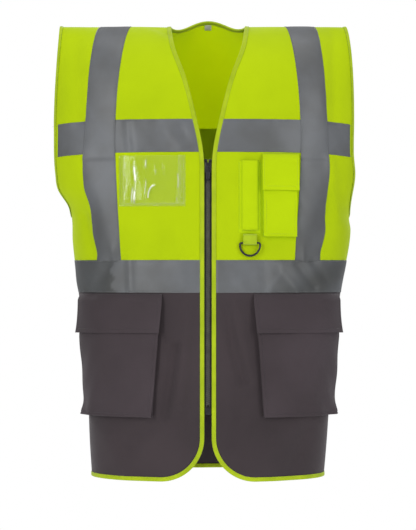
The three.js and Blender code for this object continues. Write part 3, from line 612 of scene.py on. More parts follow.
def brace_angle(side, signed, run):
    """The angle run millimetres out from a brace's inner edge. signed is its row, minus behind. In
    front the brace is drawn in a little near the waist."""
    r = np.abs(signed)
    start = angle_at(through(BRACE_INNER, r), r)
    nip = 1 - 0.12 * ease((r - 320) / 45) * (signed > 0)
    front = walk(start, r, run * nip)
    return np.where(signed > 0, side * front, side * (math.pi - front))


def on_chest_band(r):
    """1 where a brace lies on the chest band, and 0 a few millimetres above and below it."""
    slope = 7
    above = ease((r - CHEST_TOP + slope) / slope)
    return above * ease((CHEST_TOP + CHEST_SAG + TAPE_WIDTH + slope - r) / slope)


def brace_face(r):
    return mix(TAPE_FACE, OVER_TAPE + 0.35, on_chest_band(r))


def brace(side, seed):
    def at(u, v):
        signed = mix(brace_rows[0], brace_rows[-1], v)
        r = np.abs(signed)
        u = u if side > 0 else 1 - u
        pleat = 1.6 * np.exp(-(((u - 0.3) * TAPE_WIDTH) ** 2) / 20)
        pleat = pleat * ease((r - 335) / 30) * (signed > 0)
        crease = creases(signed, u, seed, 0.35) * (1 - 0.8 * on_chest_band(r))
        lift = tape_lift(u, brace_face(r)) + crease + pleat
        return on_body(brace_angle(side, signed, TAPE_WIDTH * u), r, lift)

    shares = (brace_rows - brace_rows[0]) / (brace_rows[-1] - brace_rows[0])
    return TAPE_ACROSS, shares, at


def brace_painted_shade(u, v):
    """Painted shade where the braces turn from the light as they hang in to the waist."""
    signed = mix(brace_rows[0], brace_rows[-1], v)
    return 0.55 * ease((signed - 215) / 120) * (0.8 + 0.2 * np.sin(signed / 17 + 5 * u))


for side, hand in ((1, "left"), (-1, "right")):
    piece = cloth(f"{hand}_brace", *brace(side, side * 0.7 + 2), silver_tape,
                  thick=0.35, shade=brace_painted_shade)
    sewn(piece, f"{hand}_brace_tape")

# ---- Bindings --------------------------------------------------------------------------------
# Bias strips of lime polyester folded in half round the raw edges of neck, fronts, hem and
# armholes, and sewn through with one line of stitches.

BINDING = 5.5
lime_cloth = material("lime_binding_cloth", (0.45, 0.59, 0.008), 0.65, 0.2, 0.1)
tinted(lime_cloth, (0.49, 0.63, 0.010), (0.39, 0.52, 0.006), scale=40)
woven(lime_cloth, 0.9, 2.0, depth=0.2, turn=math.radians(45), strength=0.6)

fold_turn = np.linspace(math.pi / 2, -math.pi / 2, 9)
BINDING_SECTION = np.array([(-BINDING, 1.75), (-BINDING + 0.6, 1.95), (-4.2, 1.72), (-3, 2.0),
                            (-1.2, 2.15)]
                           + [(1.25 * math.cos(t), 0.6 + 1.6 * math.sin(t)) for t in fold_turn]
                           + [(-1.2, -1.0), (-3, -0.85), (-4.2, -0.6), (-BINDING, -0.75)])


def binding(name, node, a, r, away, narrow=1.0):
    """Folded round an edge that runs through angles a and rows r. away is 1 or -1, the side of the
    path that is off the cloth, and narrow is its width's share of the full width."""
    n = outward(a, r)
    place = on_body(a, r, 0 * r)
    along = np.gradient(place, axis=0)
    along /= np.linalg.norm(along, axis=1, keepdims=True)
    off = np.cross(along, n) * away
    distance = np.concatenate([[0], np.cumsum(np.linalg.norm(np.diff(place, axis=0), axis=1))])
    count = len(BINDING_SECTION) - 1

    def at(u, v):
        i = np.rint(u * (len(a) - 1)).astype(int)
        reach, lift = BINDING_SECTION[np.rint(v * count).astype(int)].transpose(2, 0, 1)
        pucker = 0.16 * np.sin(distance[i] / 2.3 + 2 * np.sin(distance[i] / 17)) * (reach < -1)
        rise = lift + pucker * np.sign(lift)
        return place[i] + off[i] * (narrow * reach)[..., None] + n[i] * rise[..., None]

    piece = cloth(name, np.linspace(0, 1, len(a)), np.linspace(0, 1, count + 1), at, lime_cloth,
                  thick=0.35)
    sewn(piece, node)
    return piece


def evened(a, r, step=2.6):
    """The same edge with its points a few millimetres apart."""
    place = bare_body(a, r)
    run = np.concatenate([[0], np.cumsum(np.linalg.norm(np.diff(place, axis=0), axis=1))])
    stops = np.linspace(0, run[-1], int(run[-1] / step))
    return np.interp(stops, run, a), np.interp(stops, run, r)


edge_rows = np.concatenate([np.linspace(RIDGE, NECK_DROP, 90),
                            np.arange(NECK_DROP + 3, LENGTH - HEM_CORNER, 3),
                            LENGTH - HEM_CORNER + HEM_CORNER * np.sin(np.linspace(0, SIDE, 40))])
hem_row = np.array([float(LENGTH)])
hem_start, hem_end = front_edge(hem_row)[0], front_side(hem_row)[0]
hem_angles = np.linspace(hem_start, hem_end, 60)[1:]
front_path = evened(np.concatenate([front_edge(edge_rows), hem_angles]),
                    np.concatenate([edge_rows, 0 * hem_angles + LENGTH]))
arm_half = np.unique(np.concatenate([np.arange(RIDGE, 262, 2.5), underarm_turns, [UNDERARM]]))
arm_path = evened(np.concatenate([front_side(arm_half)[::-1], back_side(arm_half)]),
                  np.concatenate([arm_half[::-1], arm_half]))
for side, hand in ((1, "left"), (-1, "right")):
    binding(f"{hand}_front_edge", f"{hand}_front_binding", side * front_path[0], front_path[1], side)
    binding(f"{hand}_arm_edge", f"{hand}_armhole_binding", side * arm_path[0], arm_path[1], side, 0.8)
hem_sides = back_side(hem_row)[0]
hem_path = evened(np.linspace(hem_sides, 2 * math.pi - hem_sides, 400), np.full(400, hem_row[0]))
binding("back_hem_edge", "back_hem_binding", *hem_path, 1)
nape_x = NECK_HALF * np.cos(np.linspace(0, math.pi, 60))
nape_angle = math.pi - np.sign(nape_x) * angle_at(np.abs(nape_x), RIDGE + 0 * nape_x)
nape_path = evened(nape_angle, neck_row(nape_x), 2.2)
binding("nape_edge", "back_neck_binding", *nape_path, -1)

# ---- Zip -------------------------------------------------------------------------------------
# An open-ended moulded zip: black woven tapes sewn behind the bound fronts, teeth moulded on their
# corded edges, two top stops, and a pin that sits in the retainer box at the foot.

ZIP_TOP, ZIP_BOTTOM = 213, 603
TAPE_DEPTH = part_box("left_zip_tape")[0][1] / MM
zip_tape = material("black_zip_tape", (0.020, 0.020, 0.018), 0.8, 0.25, 0.1)
tinted(zip_tape, (0.018, 0.018, 0.016), (0.030, 0.030, 0.026), scale=60)
woven(zip_tape, 0.9, 1.3, depth=0.15, turn=math.radians(20))
zip_plastic = material("black_moulded_plastic", (0.016, 0.016, 0.017), 0.28, 0.5)


def grained(made, size, depth, strength=0.2):
    """A fine irregular relief: the skin of moulded plastic, or the twist of a thread."""
    nodes, links = made.node_tree.nodes, made.node_tree.links
    place = nodes.new("ShaderNodeTexCoord")
    grain = nodes.new("ShaderNodeTexNoise")
    grain.inputs["Scale"].default_value = 1 / (size * MM)
    relief = nodes.new("ShaderNodeBump")
    relief.inputs["Strength"].default_value = strength
    relief.inputs["Distance"].default_value = depth * MM
    links.new(place.outputs["Object"], grain.inputs["Vector"])
    links.new(grain.outputs["Fac"], relief.inputs["Height"])
    links.new(relief.outputs["Normal"], nodes["Principled BSDF"].inputs["Normal"])


grained(zip_plastic, 0.7, 0.05)
tinted(zip_plastic, (0.014, 0.014, 0.015), (0.022, 0.022, 0.022), scale=120)


def moulded(name, body, stands_for, build, bevel, finish, segments=2):
    """A hard piece that build() makes from bmesh shapes in millimetres, with its edges rounded."""
    shape = bmesh.new()
    build(shape)
    if bevel:
        bmesh.ops.bevel(shape, geom=shape.edges[:], offset=bevel, offset_type="OFFSET", affect="EDGES",
                        segments=segments, profile=0.5, material=-1, clamp_overlap=True)
    bmesh.ops.scale(shape, verts=shape.verts, vec=(MM, MM, MM))
    mesh = bpy.data.meshes.new(name)
    shape.to_mesh(mesh)
    shape.free()
    mesh.shade_smooth()
    mesh.set_sharp_from_angle(angle=math.radians(40))
    piece = bpy.data.objects.new(name, mesh)
    scene.collection.objects.link(piece)
    mesh.materials.append(finish)
    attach(piece, body)
    if stands_for:
        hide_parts(stands_for)


def brick(shape, low, high):
    size = [b - a for a, b in zip(low, high)]
    centre = [(a + b) / 2 for a, b in zip(low, high)]
    place = Matrix.Translation(centre) @ Matrix.Diagonal((*size, 1))
    bmesh.ops.create_cube(shape, size=1, matrix=place)


def side_brick(shape, side, reach, depth, height):
    """A block between two distances from the middle, on one side of it."""
    (x0, x1), (y0, y1), (z0, z1) = sorted(side * x for x in reach), depth, height
    brick(shape, (x0, y0, z0), (x1, y1, z1))


def rod(shape, start, end, radius, segments=12):
    start, end = Vector(start), Vector(end)
    turn = (end - start).to_track_quat("Z", "Y").to_matrix().to_4x4()
    place = Matrix.Translation((start + end) / 2) @ turn
    bmesh.ops.create_cone(shape, cap_ends=True, segments=segments, radius1=radius, radius2=radius,
                          depth=(end - start).length, matrix=place)


def cad_brick(node):
    """A block that fills a CAD node's box."""
    low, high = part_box(node)
    return lambda shape: brick(shape, [c / MM for c in low], [c / MM for c in high])


# The teeth are a lighter grey than the black plastic: a painted highlight for the glints on their black
# tips.
tooth_plastic = material("moulded_zip_teeth", (0.085, 0.085, 0.07), 0.25, 0.9)
grained(tooth_plastic, 0.5, 0.04)
tinted(tooth_plastic, (0.095, 0.095, 0.078), (0.060, 0.060, 0.050), scale=90)
TOOTH_PITCH, TOOTH_TALL, TEETH_TOP, TEETH_END = 3.1, 1.45, 219.5, 592
CORD_AT, CORD_TOP, CORD_END, CORD_RADIUS = (2.7, -110.2), 218.5, 591, 0.75
for side, hand in ((1, "left"), (-1, "right")):
    x0, x1 = sorted((side * 0.6, side * 17.3))
    piece = cloth(f"{hand}_tape_of_zip", np.linspace(0, 1, 9), np.linspace(0, 1, 90),
                  lambda u, v: np.stack([mix(x0, x1, u), TAPE_DEPTH + 0 * u,
                                         -mix(ZIP_TOP, ZIP_BOTTOM, v)], -1), zip_tape, thick=0.4)
    sewn(piece, f"{hand}_zip_tape")

    def teeth(shape):
        for k in range(int((TEETH_END - TEETH_TOP - TOOTH_TALL) / TOOTH_PITCH)):
            z = -TEETH_TOP - (k + (0.5 if side < 0 else 0)) * TOOTH_PITCH
            side_brick(shape, side, (-1.1, 3.3), (-111.5, -109.0), (z - TOOTH_TALL, z))
            side_brick(shape, side, (1.0, 3.9), (-111.1, -109.4), (z - TOOTH_TALL + 0.2, z - 0.2))
        x, y = side * CORD_AT[0], CORD_AT[1]
        rod(shape, (x, y, -CORD_TOP), (x, y, -CORD_END), CORD_RADIUS, 10)

    moulded(f"{hand}_teeth", "vest", f"{hand}_zip_teeth", teeth, 0.22, tooth_plastic, 1)
    moulded(f"{hand}_top_stop", "vest", f"{hand}_zip_top_stop",
            cad_brick(f"{hand}_zip_top_stop"), 0.5, zip_plastic)
moulded("zip_pin", "vest", "zip_insertion_pin", cad_brick("zip_insertion_pin"), 0.25,
        zip_plastic)


def retainer(shape):
    brick(shape, (-4.4, -112.05, -603), (4.4, -108.05, -591.6))
    brick(shape, (-3.2, -112.45, -601.6), (3.2, -112.0, -593.4))


moulded("zip_box", "vest", "zip_retainer_box", retainer, 0.55, zip_plastic, 3)


SLIDER_HALF, SLIDER_TOP, SLIDER_FOOT = 4.7, -218, -234


def slider(shape):
    """A front and a back plate, side walls and lugs for the pin, and a web that joins the plates."""
    brick(shape, (-SLIDER_HALF, -113.35, SLIDER_FOOT), (SLIDER_HALF, -112.05, SLIDER_TOP))
    brick(shape, (-4.4, -108.05, SLIDER_FOOT), (4.4, -106.9, SLIDER_TOP))
    for side in (1, -1):
        side_brick(shape, side, (3.8, SLIDER_HALF), (-112.4, -110.9), (-233.6, -218.4))
        side_brick(shape, side, (2.4, 3.4), (-116.7, -113.1), (-227.4, -223))
    brick(shape, (-0.4, -112.3, -222), (0.4, -107.8, -218.2))


moulded("slider_of_zip", "zip_slider", "zip_slider", slider, 0.45, zip_plastic, 2)
PIN_HALF, PIN_Y, PIN_Z = 3.2, -115.85, -225.2
moulded("slider_pin", "zip_slider", None,
        lambda shape: rod(shape, (-PIN_HALF, PIN_Y, PIN_Z), (PIN_HALF, PIN_Y, PIN_Z), 0.8, 16), 0,
        zip_plastic)
PULL_DEPTH = (-116.4, -115.3)


def pull_tab(shape):
    for side in (1, -1):
        side_brick(shape, side, (1.5, 3.1), PULL_DEPTH, (-245.6, -230.2))
    for height in ((-247, -243.4), (-232.4, -229)):
        side_brick(shape, 1, (-3.1, 3.1), PULL_DEPTH, height)
    brick(shape, (-1.6, -116.35, -230), (1.6, -115.35, -226.6))
    brick(shape, (-1.6, -116.05, -243.6), (1.6, -115.65, -232.2))


def pull_eye(shape):
    for sweep in range(12):
        turn = sweep * math.pi / 6
        y, z = PIN_Y + 1.55 * math.cos(turn), PIN_Z + 1.55 * math.sin(turn)
        place = Matrix.Translation((0, y, z)) @ Matrix.Diagonal((3.3, 1, 1, 1))
        bmesh.ops.create_icosphere(shape, subdivisions=2, radius=0.46, matrix=place)


moulded("pull_of_zip", "zip_pull", "zip_pull", pull_tab, 0.32, zip_plastic, 2)
moulded("pull_eye", "zip_pull", None, pull_eye, 0, zip_plastic)

# ---- Cargo pockets ---------------------------------------------------------------------------
# Charcoal bellows pockets on both sides of the skirt: a stitched face on a gusset that folds in
# along its middle, a hemmed mouth, and a flap that closes with hook and loop.

CARGO = dict(inner=72, width=152, taper=13, top=431, bottom=606, room=9.5, mouth=0.5)
CARGO_SIDE = [(0, 0), (0.4, 0.08), (1.8, 0.26), (3.6, 0.45), (3.4, 0.56), (1.4, 0.72), (-0.8, 0.88),
              (-1.2, 0.97), (-0.6, 1.03), (0.8, 1.02), (2.2, 0.96), (4, 1.0), (8, 1.0)]
CARGO_FOOT = [(0, 0), (0.4, 0.1), (1.4, 0.3), (2.4, 0.5), (1.6, 0.68), (0.0, 0.85), (-1.0, 0.95),
              (-0.4, 1.03), (1.0, 1.02), (2.4, 0.96), (4, 1.0), (8, 1.0)]
FLAP_STACK, STRIP_THICK = 2.9, 0.75
pocket_cloth = material("charcoal_pocket_cloth", (0.068, 0.052, 0.058), 0.78, 0.25, 0.1)
tinted(pocket_cloth, (0.070, 0.053, 0.060), (0.052, 0.039, 0.043), scale=8)
woven(pocket_cloth, turn=math.radians(45), depth=0.15)


def fullness(size, r):
    share = np.clip((r - size["top"]) / (0.3 * (size["bottom"] - size["top"])), 0, 1)
    return size["room"] * mix(size["mouth"], 1, share)


def pocket_angle(size, r, run):
    """The angle of the point that lies run millimetres round from the pocket's inner edge."""
    lean = size["taper"] * np.clip(r - size["top"], 0, None) / (size["bottom"] - size["top"])
    return walk(angle_at(size["inner"] + lean, r), r, run * (size["width"] - lean) / size["width"])


def pocket(size, side, side_section, foot_section, columns, rows, bulge):
    """A patch with shaped sides and foot. bulge(across, down) is what its face does between them."""
    height, width = size["bottom"] - size["top"], size["width"]
    edge, edge_share = np.array(side_section).T
    foot, foot_share = np.array(foot_section).T
    run = np.concatenate([edge, np.linspace(edge[-1], width - edge[-1], columns)[1:-1],
                          width - edge[::-1]])
    run_share = np.concatenate([edge_share, np.ones(columns - 2), edge_share[::-1]])
    fall = np.concatenate([np.linspace(0, height - foot[-1], rows)[:-1], height - foot[::-1]])
    fall_share = np.concatenate([np.ones(rows - 1), foot_share[::-1]])

    def at(u, v):
        i = np.rint((u if side > 0 else 1 - u) * (len(run) - 1)).astype(int)
        j = np.rint(v * (len(fall) - 1)).astype(int)
        r = size["top"] + fall[j]
        share = np.minimum(run_share[i], fall_share[j])
        face = np.clip(share, 0, 1) ** 2 * bulge(run[i] / width, fall[j] / height)
        return on_body(side * pocket_angle(size, r, run[i]), r, 1.0 + fullness(size, r) * share + face)

    return np.linspace(0, 1, len(run)), np.linspace(0, 1, len(fall)), at


def flap(size, side, top, bottom, overhang, columns, curl):
    """A flap sewn on above a pocket: it rises over the mouth and hangs on the pocket's face."""
    across = np.concatenate([[0, 0.004, 0.012, 0.02, 0.035, 0.05], np.linspace(0.07, 0.93, columns),
                             [0.95, 0.965, 0.98, 0.988, 0.996, 1]])
    height = bottom - top
    down = np.concatenate([np.linspace(0, (size["top"] - top) / height, 7)[:-1],
                           np.linspace((size["top"] - top) / height, 1 - 8 / height, 14),
                           1 - np.array([6, 4.5, 3, 1.5, 0.5, 0]) / height])

    def at(u, v):
        share = u if side > 0 else 1 - u
        r = mix(top, bottom, v)
        below = np.maximum(r, size["top"])
        a = pocket_angle(size, below, mix(-overhang, size["width"] + overhang, share))
        rise = np.sin(SIDE * np.clip((r - top) / (size["top"] - top), 0, 1))
        rim = np.minimum(share, 1 - share) * (size["width"] + 2 * overhang)
        rim = np.minimum(rim, (1 - v) * height)
        hem = 0.25 * ease((7 - rim) / 2) - 0.35 * np.exp(-((rim - 6) ** 2) / 1.1)
        lift = mix(CLOTH_FACE + 0.9, 1.0 + fullness(size, below) + FLAP_STACK, rise)
        return on_body(side * a, r, lift + hem + curl(share, v) * rise)

    return across, down, at


def strip(size, side, width, layer):
    """A hook or loop strip on the pocket's face below the mouth."""
    margin = (size["width"] - width) / 2

    def at(u, v):
        r = size["top"] + 8 + 20 * v
        run = mix(margin, size["width"] - margin, u if side > 0 else 1 - u)
        lift = 1.0 + fullness(size, r) + STRIP_THICK + layer
        return on_body(side * pocket_angle(size, r, run), r, lift)

    return np.linspace(0, 1, 24), np.linspace(0, 1, 8), at


def fuzzy(name, colour):
    made = material(name, colour, 0.9, 0.15, 0.5)
    nodes, links = made.node_tree.nodes, made.node_tree.links
    place = nodes.new("ShaderNodeTexCoord")
    loops = nodes.new("ShaderNodeTexVoronoi")
    loops.inputs["Scale"].default_value = 1400
    relief = nodes.new("ShaderNodeBump")
    relief.inputs["Strength"].default_value = 0.8
    relief.inputs["Distance"].default_value = 0.4 * MM
    links.new(place.outputs["Object"], loops.inputs["Vector"])
    links.new(loops.outputs["Distance"], relief.inputs["Height"])
    links.new(relief.outputs["Normal"], nodes["Principled BSDF"].inputs["Normal"])
    tinted(made, colour, tuple(0.7 * c for c in colour), scale=300)
    return made


black_fastener = fuzzy("black_hook_and_loop", (0.02, 0.02, 0.02))
yellow_fastener = fuzzy("yellow_hook_and_loop", (0.50, 0.66, 0.01))


def cargo_face(seed):
    def bulge(across, down):
        soft = 3.0 * np.sin(math.pi * across) * np.sin(math.pi * np.clip(down * 0.9 + 0.1, 0, 1))
        wrinkle = 1.7 * np.sin(9 * across + 7 * down + seed) * np.sin(11 * down - 5 * across)
        pull = 0.6 * np.sin(23 * across - 16 * down + 2 * seed)
        outer = 5.5 * np.exp(-((1 - across) ** 2 / 0.006 + (1 - down) ** 2 / 0.006))
        inner = 2.0 * np.exp(-(across**2 / 0.004 + (1 - down) ** 2 / 0.004))
        return soft + wrinkle * down + pull * down + outer + inner

    return bulge


cargo_faces, cargo_flaps = {}, {}
for side, hand in ((1, "left"), (-1, "right")):
    cargo_faces[hand] = pocket(CARGO, side, CARGO_SIDE, CARGO_FOOT, columns=40, rows=44,
                               bulge=cargo_face(side))
    piece = cloth(f"{hand}_cargo_face", *cargo_faces[hand], pocket_cloth)
    sewn(piece, f"{hand}_cargo_pocket")
    cargo_flaps[hand] = flap(CARGO, side, top=418.5, bottom=478, overhang=3, columns=36,
                             curl=lambda across, v: 1.2 * v**3
                             + 1.4 * v**4 * (np.abs(across - 0.5) * 2) ** 8
                             + 0.45 * np.sin(17 * across + 3 * v) * v)
    piece = cloth(f"{hand}_cargo_cover", *cargo_flaps[hand], pocket_cloth, thick=0.9)
    sewn(piece, f"{hand}_cargo_flap", body=f"{hand}_cargo_flap")
    piece = cloth(f"{hand}_cargo_loop", *strip(CARGO, side, 90, 0), black_fastener, thick=0.6)
    sewn(piece, f"{hand}_cargo_loop_strip")
    piece = cloth(f"{hand}_cargo_hook", *strip(CARGO, side, 90, STRIP_THICK), black_fastener, thick=0.6)
    sewn(piece, f"{hand}_cargo_hook_strip", body=f"{hand}_cargo_flap")

# ---- Chest pockets ---------------------------------------------------------------------------
# On the wearer's left: a phone pocket with a flap and a narrow pen pocket beside it, both of the
# yellow cloth used double, so they look a little brighter than the yoke.

bright_cloth = material("doubled_yellow_polyester", (0.56, 0.76, 0.001), 0.75, 0.1, 0.06)
tinted(bright_cloth, (0.565, 0.765, 0.001), (0.52, 0.71, 0.001), scale=14)
woven(bright_cloth)
PHONE = dict(inner=84, width=52, taper=0, top=216, bottom=331, room=7, mouth=0.85)
PEN = dict(inner=47, width=34, taper=0, top=215, bottom=326, room=5.5, mouth=1)
PHONE_SIDE = [(0, 0), (0.3, 0.12), (1.4, 0.35), (2.0, 0.5), (0.9, 0.7), (0.0, 0.9), (0.2, 1.02),
              (1.2, 1.03), (2.2, 0.96), (4, 1), (7, 1)]
PEN_SIDE = [(0, 0), (0.3, 0.1), (0.9, 0.14), (3.6, 0.12), (4.2, 0.3), (4.8, 0.62), (5.8, 0.84),
            (7.4, 0.96), (9.5, 1)]
phone_pouch = pocket(PHONE, 1, PHONE_SIDE, PHONE_SIDE, columns=16, rows=26,
                     bulge=lambda across, down: 1.2 * np.sin(math.pi * across) * np.sin(math.pi * down)
                     + 0.3 * np.sin(14 * down + 6 * across))
piece = cloth("phone_pouch", *phone_pouch, bright_cloth)
sewn(piece, "phone_pocket")
phone_cover = flap(PHONE, 1, top=204, bottom=260, overhang=2, columns=16,
                   curl=lambda across, v: 0.8 * v**3 + 0.2 * np.sin(11 * across + 2 * v) * v)
piece = cloth("phone_cover", *phone_cover, bright_cloth, thick=0.8)
sewn(piece, "phone_flap", body="phone_flap")
piece = cloth("phone_loop", *strip(PHONE, 1, 34, 0), yellow_fastener, thick=0.6)
sewn(piece, "phone_loop_strip")
piece = cloth("phone_hook", *strip(PHONE, 1, 34, STRIP_THICK), yellow_fastener, thick=0.6)
sewn(piece, "phone_hook_strip", body="phone_flap")
pen_pouch = pocket(PEN, 1, PEN_SIDE, PEN_SIDE, columns=10, rows=30,
                   bulge=lambda across, down: 0.25 * np.sin(12 * down) * np.sin(math.pi * across))
piece = cloth("pen_pouch", *pen_pouch, bright_cloth)
sewn(piece, "pen_pocket")

# ---- Card window -----------------------------------------------------------------------------
# A clear soft PVC sheet on the wearer's right, stitched along three edges and open at the top. The
# sheet stands off the cloth and has a few upright ripples and one curved crease.

WINDOW = dict(inner=34, width=106, taper=0, top=207, bottom=285, room=4.2, mouth=0.8)
WINDOW_EDGE = [(0, 0.02), (1.2, 0.03), (2.4, 0.05), (3.6, 0.1), (4.6, 0.35), (5.8, 0.7),
               (7.5, 0.93), (10, 1)]
# Each ripple: its place across, where it starts and ends down the sheet, and its height.
RIPPLES = [(0.06, 0.3, 0.98, 1.0), (0.30, 0.1, 0.45, 0.7), (0.42, 0.16, 0.42, 1.0),
           (0.58, 0.04, 0.3, 1.2), (0.60, 0.42, 0.98, 1.0), (0.78, 0.05, 0.97, 1.6),
           (0.82, 0.55, 0.98, 1.2), (0.93, 0.1, 0.9, 0.7)]


def along_ripple(across, down, ripple, width):
    """1 along a ripple's line, falling to 0 beside it and past its ends."""
    middle, start, end, _ = ripple
    near = np.exp(-(((across - middle - 0.012 * np.sin(9 * down)) / width) ** 2))
    return near * ease((down - start) / 0.12) * ease((end - down) / 0.12)


def along_crescent(across, down, width):
    bend = np.hypot((across - 0.42) / 0.13, (down - 0.84) / 0.25)
    return np.exp(-(((bend - 1) / width) ** 2)) * (across > 0.42) * (down < 0.86)


def window_face(across, down):
    rise = 0.25 * np.sin(19 * across + 3 * down)
    for ripple in RIPPLES:
        rise = rise + ripple[3] * along_ripple(across, down, ripple, 0.014)
    return rise + 0.9 * along_crescent(across, down, 0.12)


clear_pvc = material("clear_soft_pvc", (0.80, 0.88, 0.62), 0.06, 1.0)
pvc_base = clear_pvc.node_tree.nodes["Principled BSDF"]
pvc_base.inputs["Coat Weight"].default_value = 0.6
pvc_base.inputs["Coat Roughness"].default_value = 0.04
pvc_nodes, pvc_links = clear_pvc.node_tree.nodes, clear_pvc.node_tree.links
# Painted highlights: the stored shade turns the sheet white and less clear along its ripples and
# crease.
pvc_painted_glare = pvc_nodes.new("ShaderNodeAttribute")
pvc_painted_glare.attribute_name = "shade"
pvc_alpha = pvc_nodes.new("ShaderNodeMapRange")
pvc_alpha.inputs["To Min"].default_value = 0.07
pvc_alpha.inputs["To Max"].default_value = 0.85
pvc_links.new(pvc_painted_glare.outputs["Fac"], pvc_alpha.inputs["Value"])
pvc_links.new(pvc_alpha.outputs[0], pvc_base.inputs["Alpha"])
pvc_tone = pvc_nodes.new("ShaderNodeMix")
pvc_tone.data_type = "RGBA"
pvc_tone.inputs["A"].default_value = (0.52, 0.62, 0.10, 1)
pvc_tone.inputs["B"].default_value = (1.0, 1.0, 0.92, 1)
pvc_links.new(pvc_painted_glare.outputs["Fac"], pvc_tone.inputs["Factor"])
pvc_links.new(pvc_tone.outputs["Result"], pvc_base.inputs["Base Color"])


def window_painted_glare(u, v):
    """Where the sheet is painted white: highlights along its ripples and at the crease, and the paler
    welded rim.
    """
    across, down = 1 - u, v
    white = 0.05 + 0 * u
    for ripple in RIPPLES:
        middle, height = ripple[0], ripple[3]
        broken = 0.25 + 0.75 * ease(1.4 * np.sin(13 * down + 20 * middle) + 0.9)
        near = along_ripple(across, down, ripple, 0.006 + 0.006 * height)
        white = white + (height - 0.55) * near * broken
    white = white + 0.85 * along_crescent(across, down, 0.08) * (down > 0.6)
    tall = WINDOW["bottom"] - WINDOW["top"]
    rim = np.minimum(np.minimum(across, 1 - across) * WINDOW["width"], (1 - down) * tall)
    white = white + 0.16 * np.exp(-(((rim - 4.6) / 0.9) ** 2)) + 0.07 * (rim < 4)
    return np.clip(white, 0, 1)


card_window = pocket(WINDOW, -1, WINDOW_EDGE, WINDOW_EDGE, columns=190, rows=60, bulge=window_face)
piece = cloth("card_window", *card_window, clear_pvc, thick=0.25, shade=window_painted_glare)
sewn(piece, "id_window")

# ---- Ring and its webbing --------------------------------------------------------------------
# A black acetal D-ring hangs by its bar in a short loop of yellow webbing sewn below the pen pocket.

RING_X, RING_Y, RING_Z = 64, -115.67, -341
LOOP_WIDTH = 21
webbing = material("yellow_webbing", (0.50, 0.67, 0.01), 0.75, 0.3, 0.2)
tinted(webbing, (0.50, 0.67, 0.01), (0.42, 0.57, 0.006), scale=60)
woven(webbing, 1.6, 1.0, depth=0.35, strength=0.8)
loop_turn = np.linspace(0, math.pi, 13)
LOOP_PATH = np.array([(-1.0, 13.6), (-1.9, 9.5), (-2.7, 5), (-2.95, 2)]
                     + [(-2.95 * math.cos(t), -2.95 * math.sin(t)) for t in loop_turn]
                     + [(2.95, 2), (2.95, 5), (2.9, 9.5), (2.9, 13.6)])


def webbing_loop(u, v):
    depth, height = LOOP_PATH[np.rint(v * (len(LOOP_PATH) - 1)).astype(int)].transpose(2, 0, 1)
    rounded = 0.25 * np.cos(math.pi * (u - 0.5)) * np.sign(depth)
    return np.stack([RING_X + LOOP_WIDTH * (u - 0.5), RING_Y + depth + rounded, RING_Z + height], -1)


piece = cloth("ring_webbing", np.linspace(0, 1, 10), np.linspace(0, 1, len(LOOP_PATH)), webbing_loop,
              webbing, thick=0.6)
sewn(piece, "ring_tab")

ring_curve = bpy.data.curves.new("ring_line", "CURVE")
ring_curve.dimensions = "3D"
ring_curve.bevel_depth = 1.6 * MM
ring_curve.bevel_resolution = 5
ring_line = ring_curve.splines.new("POLY")
ring_places = [(x, 0) for x in np.linspace(-13.2, 13.2, 12)] + [(14.6, -0.5), (15.2, -1.8)]
ring_places += [(15.35 * math.cos(t), -3 + 16.4 * math.sin(t)) for t in np.linspace(0, -math.pi, 34)]
ring_places += [(-15.2, -1.8), (-14.6, -0.5)]
ring_line.points.add(len(ring_places) - 1)
for point, (x, z) in zip(ring_line.points, ring_places):
    point.co = ((RING_X + x) * MM, RING_Y * MM, (RING_Z + z) * MM, 1)
ring_line.use_cyclic_u = True
ring_mould = bpy.data.objects.new("ring_mould", ring_curve)
scene.collection.objects.link(ring_mould)
evaluated_ring = ring_mould.evaluated_get(bpy.context.evaluated_depsgraph_get())
ring_mesh = bpy.data.meshes.new_from_object(evaluated_ring)
bpy.data.objects.remove(ring_mould)
ring_mesh.shade_smooth()
ring_mesh.materials.clear()
ring_mesh.materials.append(zip_plastic)
ring = bpy.data.objects.new("d_shaped_ring", ring_mesh)
scene.collection.objects.link(ring)
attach(ring, "d_ring")
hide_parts("d_ring")

# ---- Neck label ------------------------------------------------------------------------------
# A small folded satin label, sewn inside the back neck under the binding.

label_cloth = material("satin_label", (0.66, 0.66, 0.60), 0.5, 0.4)
tinted(label_cloth, (0.66, 0.66, 0.60), (0.56, 0.56, 0.50), scale=200)
woven(label_cloth, 0.5, 0.5, depth=0.08)


def label_at(u, v):
    r = nape_row + 4.5 + 8 * v
    reach = angle_at(5.2 + 0 * r, r)
    return on_body(math.pi + mix(-reach, reach, u), r, -1.1 - 0.5 * np.sin(math.pi * v))


piece = cloth("satin_neck_label", np.linspace(0, 1, 8), np.linspace(0, 1, 9), label_at, label_cloth,
              thick=0.3)
sewn(piece, "neck_label")

# ---- Stitching -------------------------------------------------------------------------------
# Lock stitches about 3 mm long, in thread of the cloth's colour: along both edges of every tape,
# through the bindings, round the pockets and flaps, and along the shoulder seams.


def thread(name, colour):
    made = material(name, colour, 0.5, 0.4, 0.2)
    grained(made, 0.35, 0.1, 0.6)
    tinted(made, colour, tuple(0.75 * c for c in colour), scale=200)
    return made


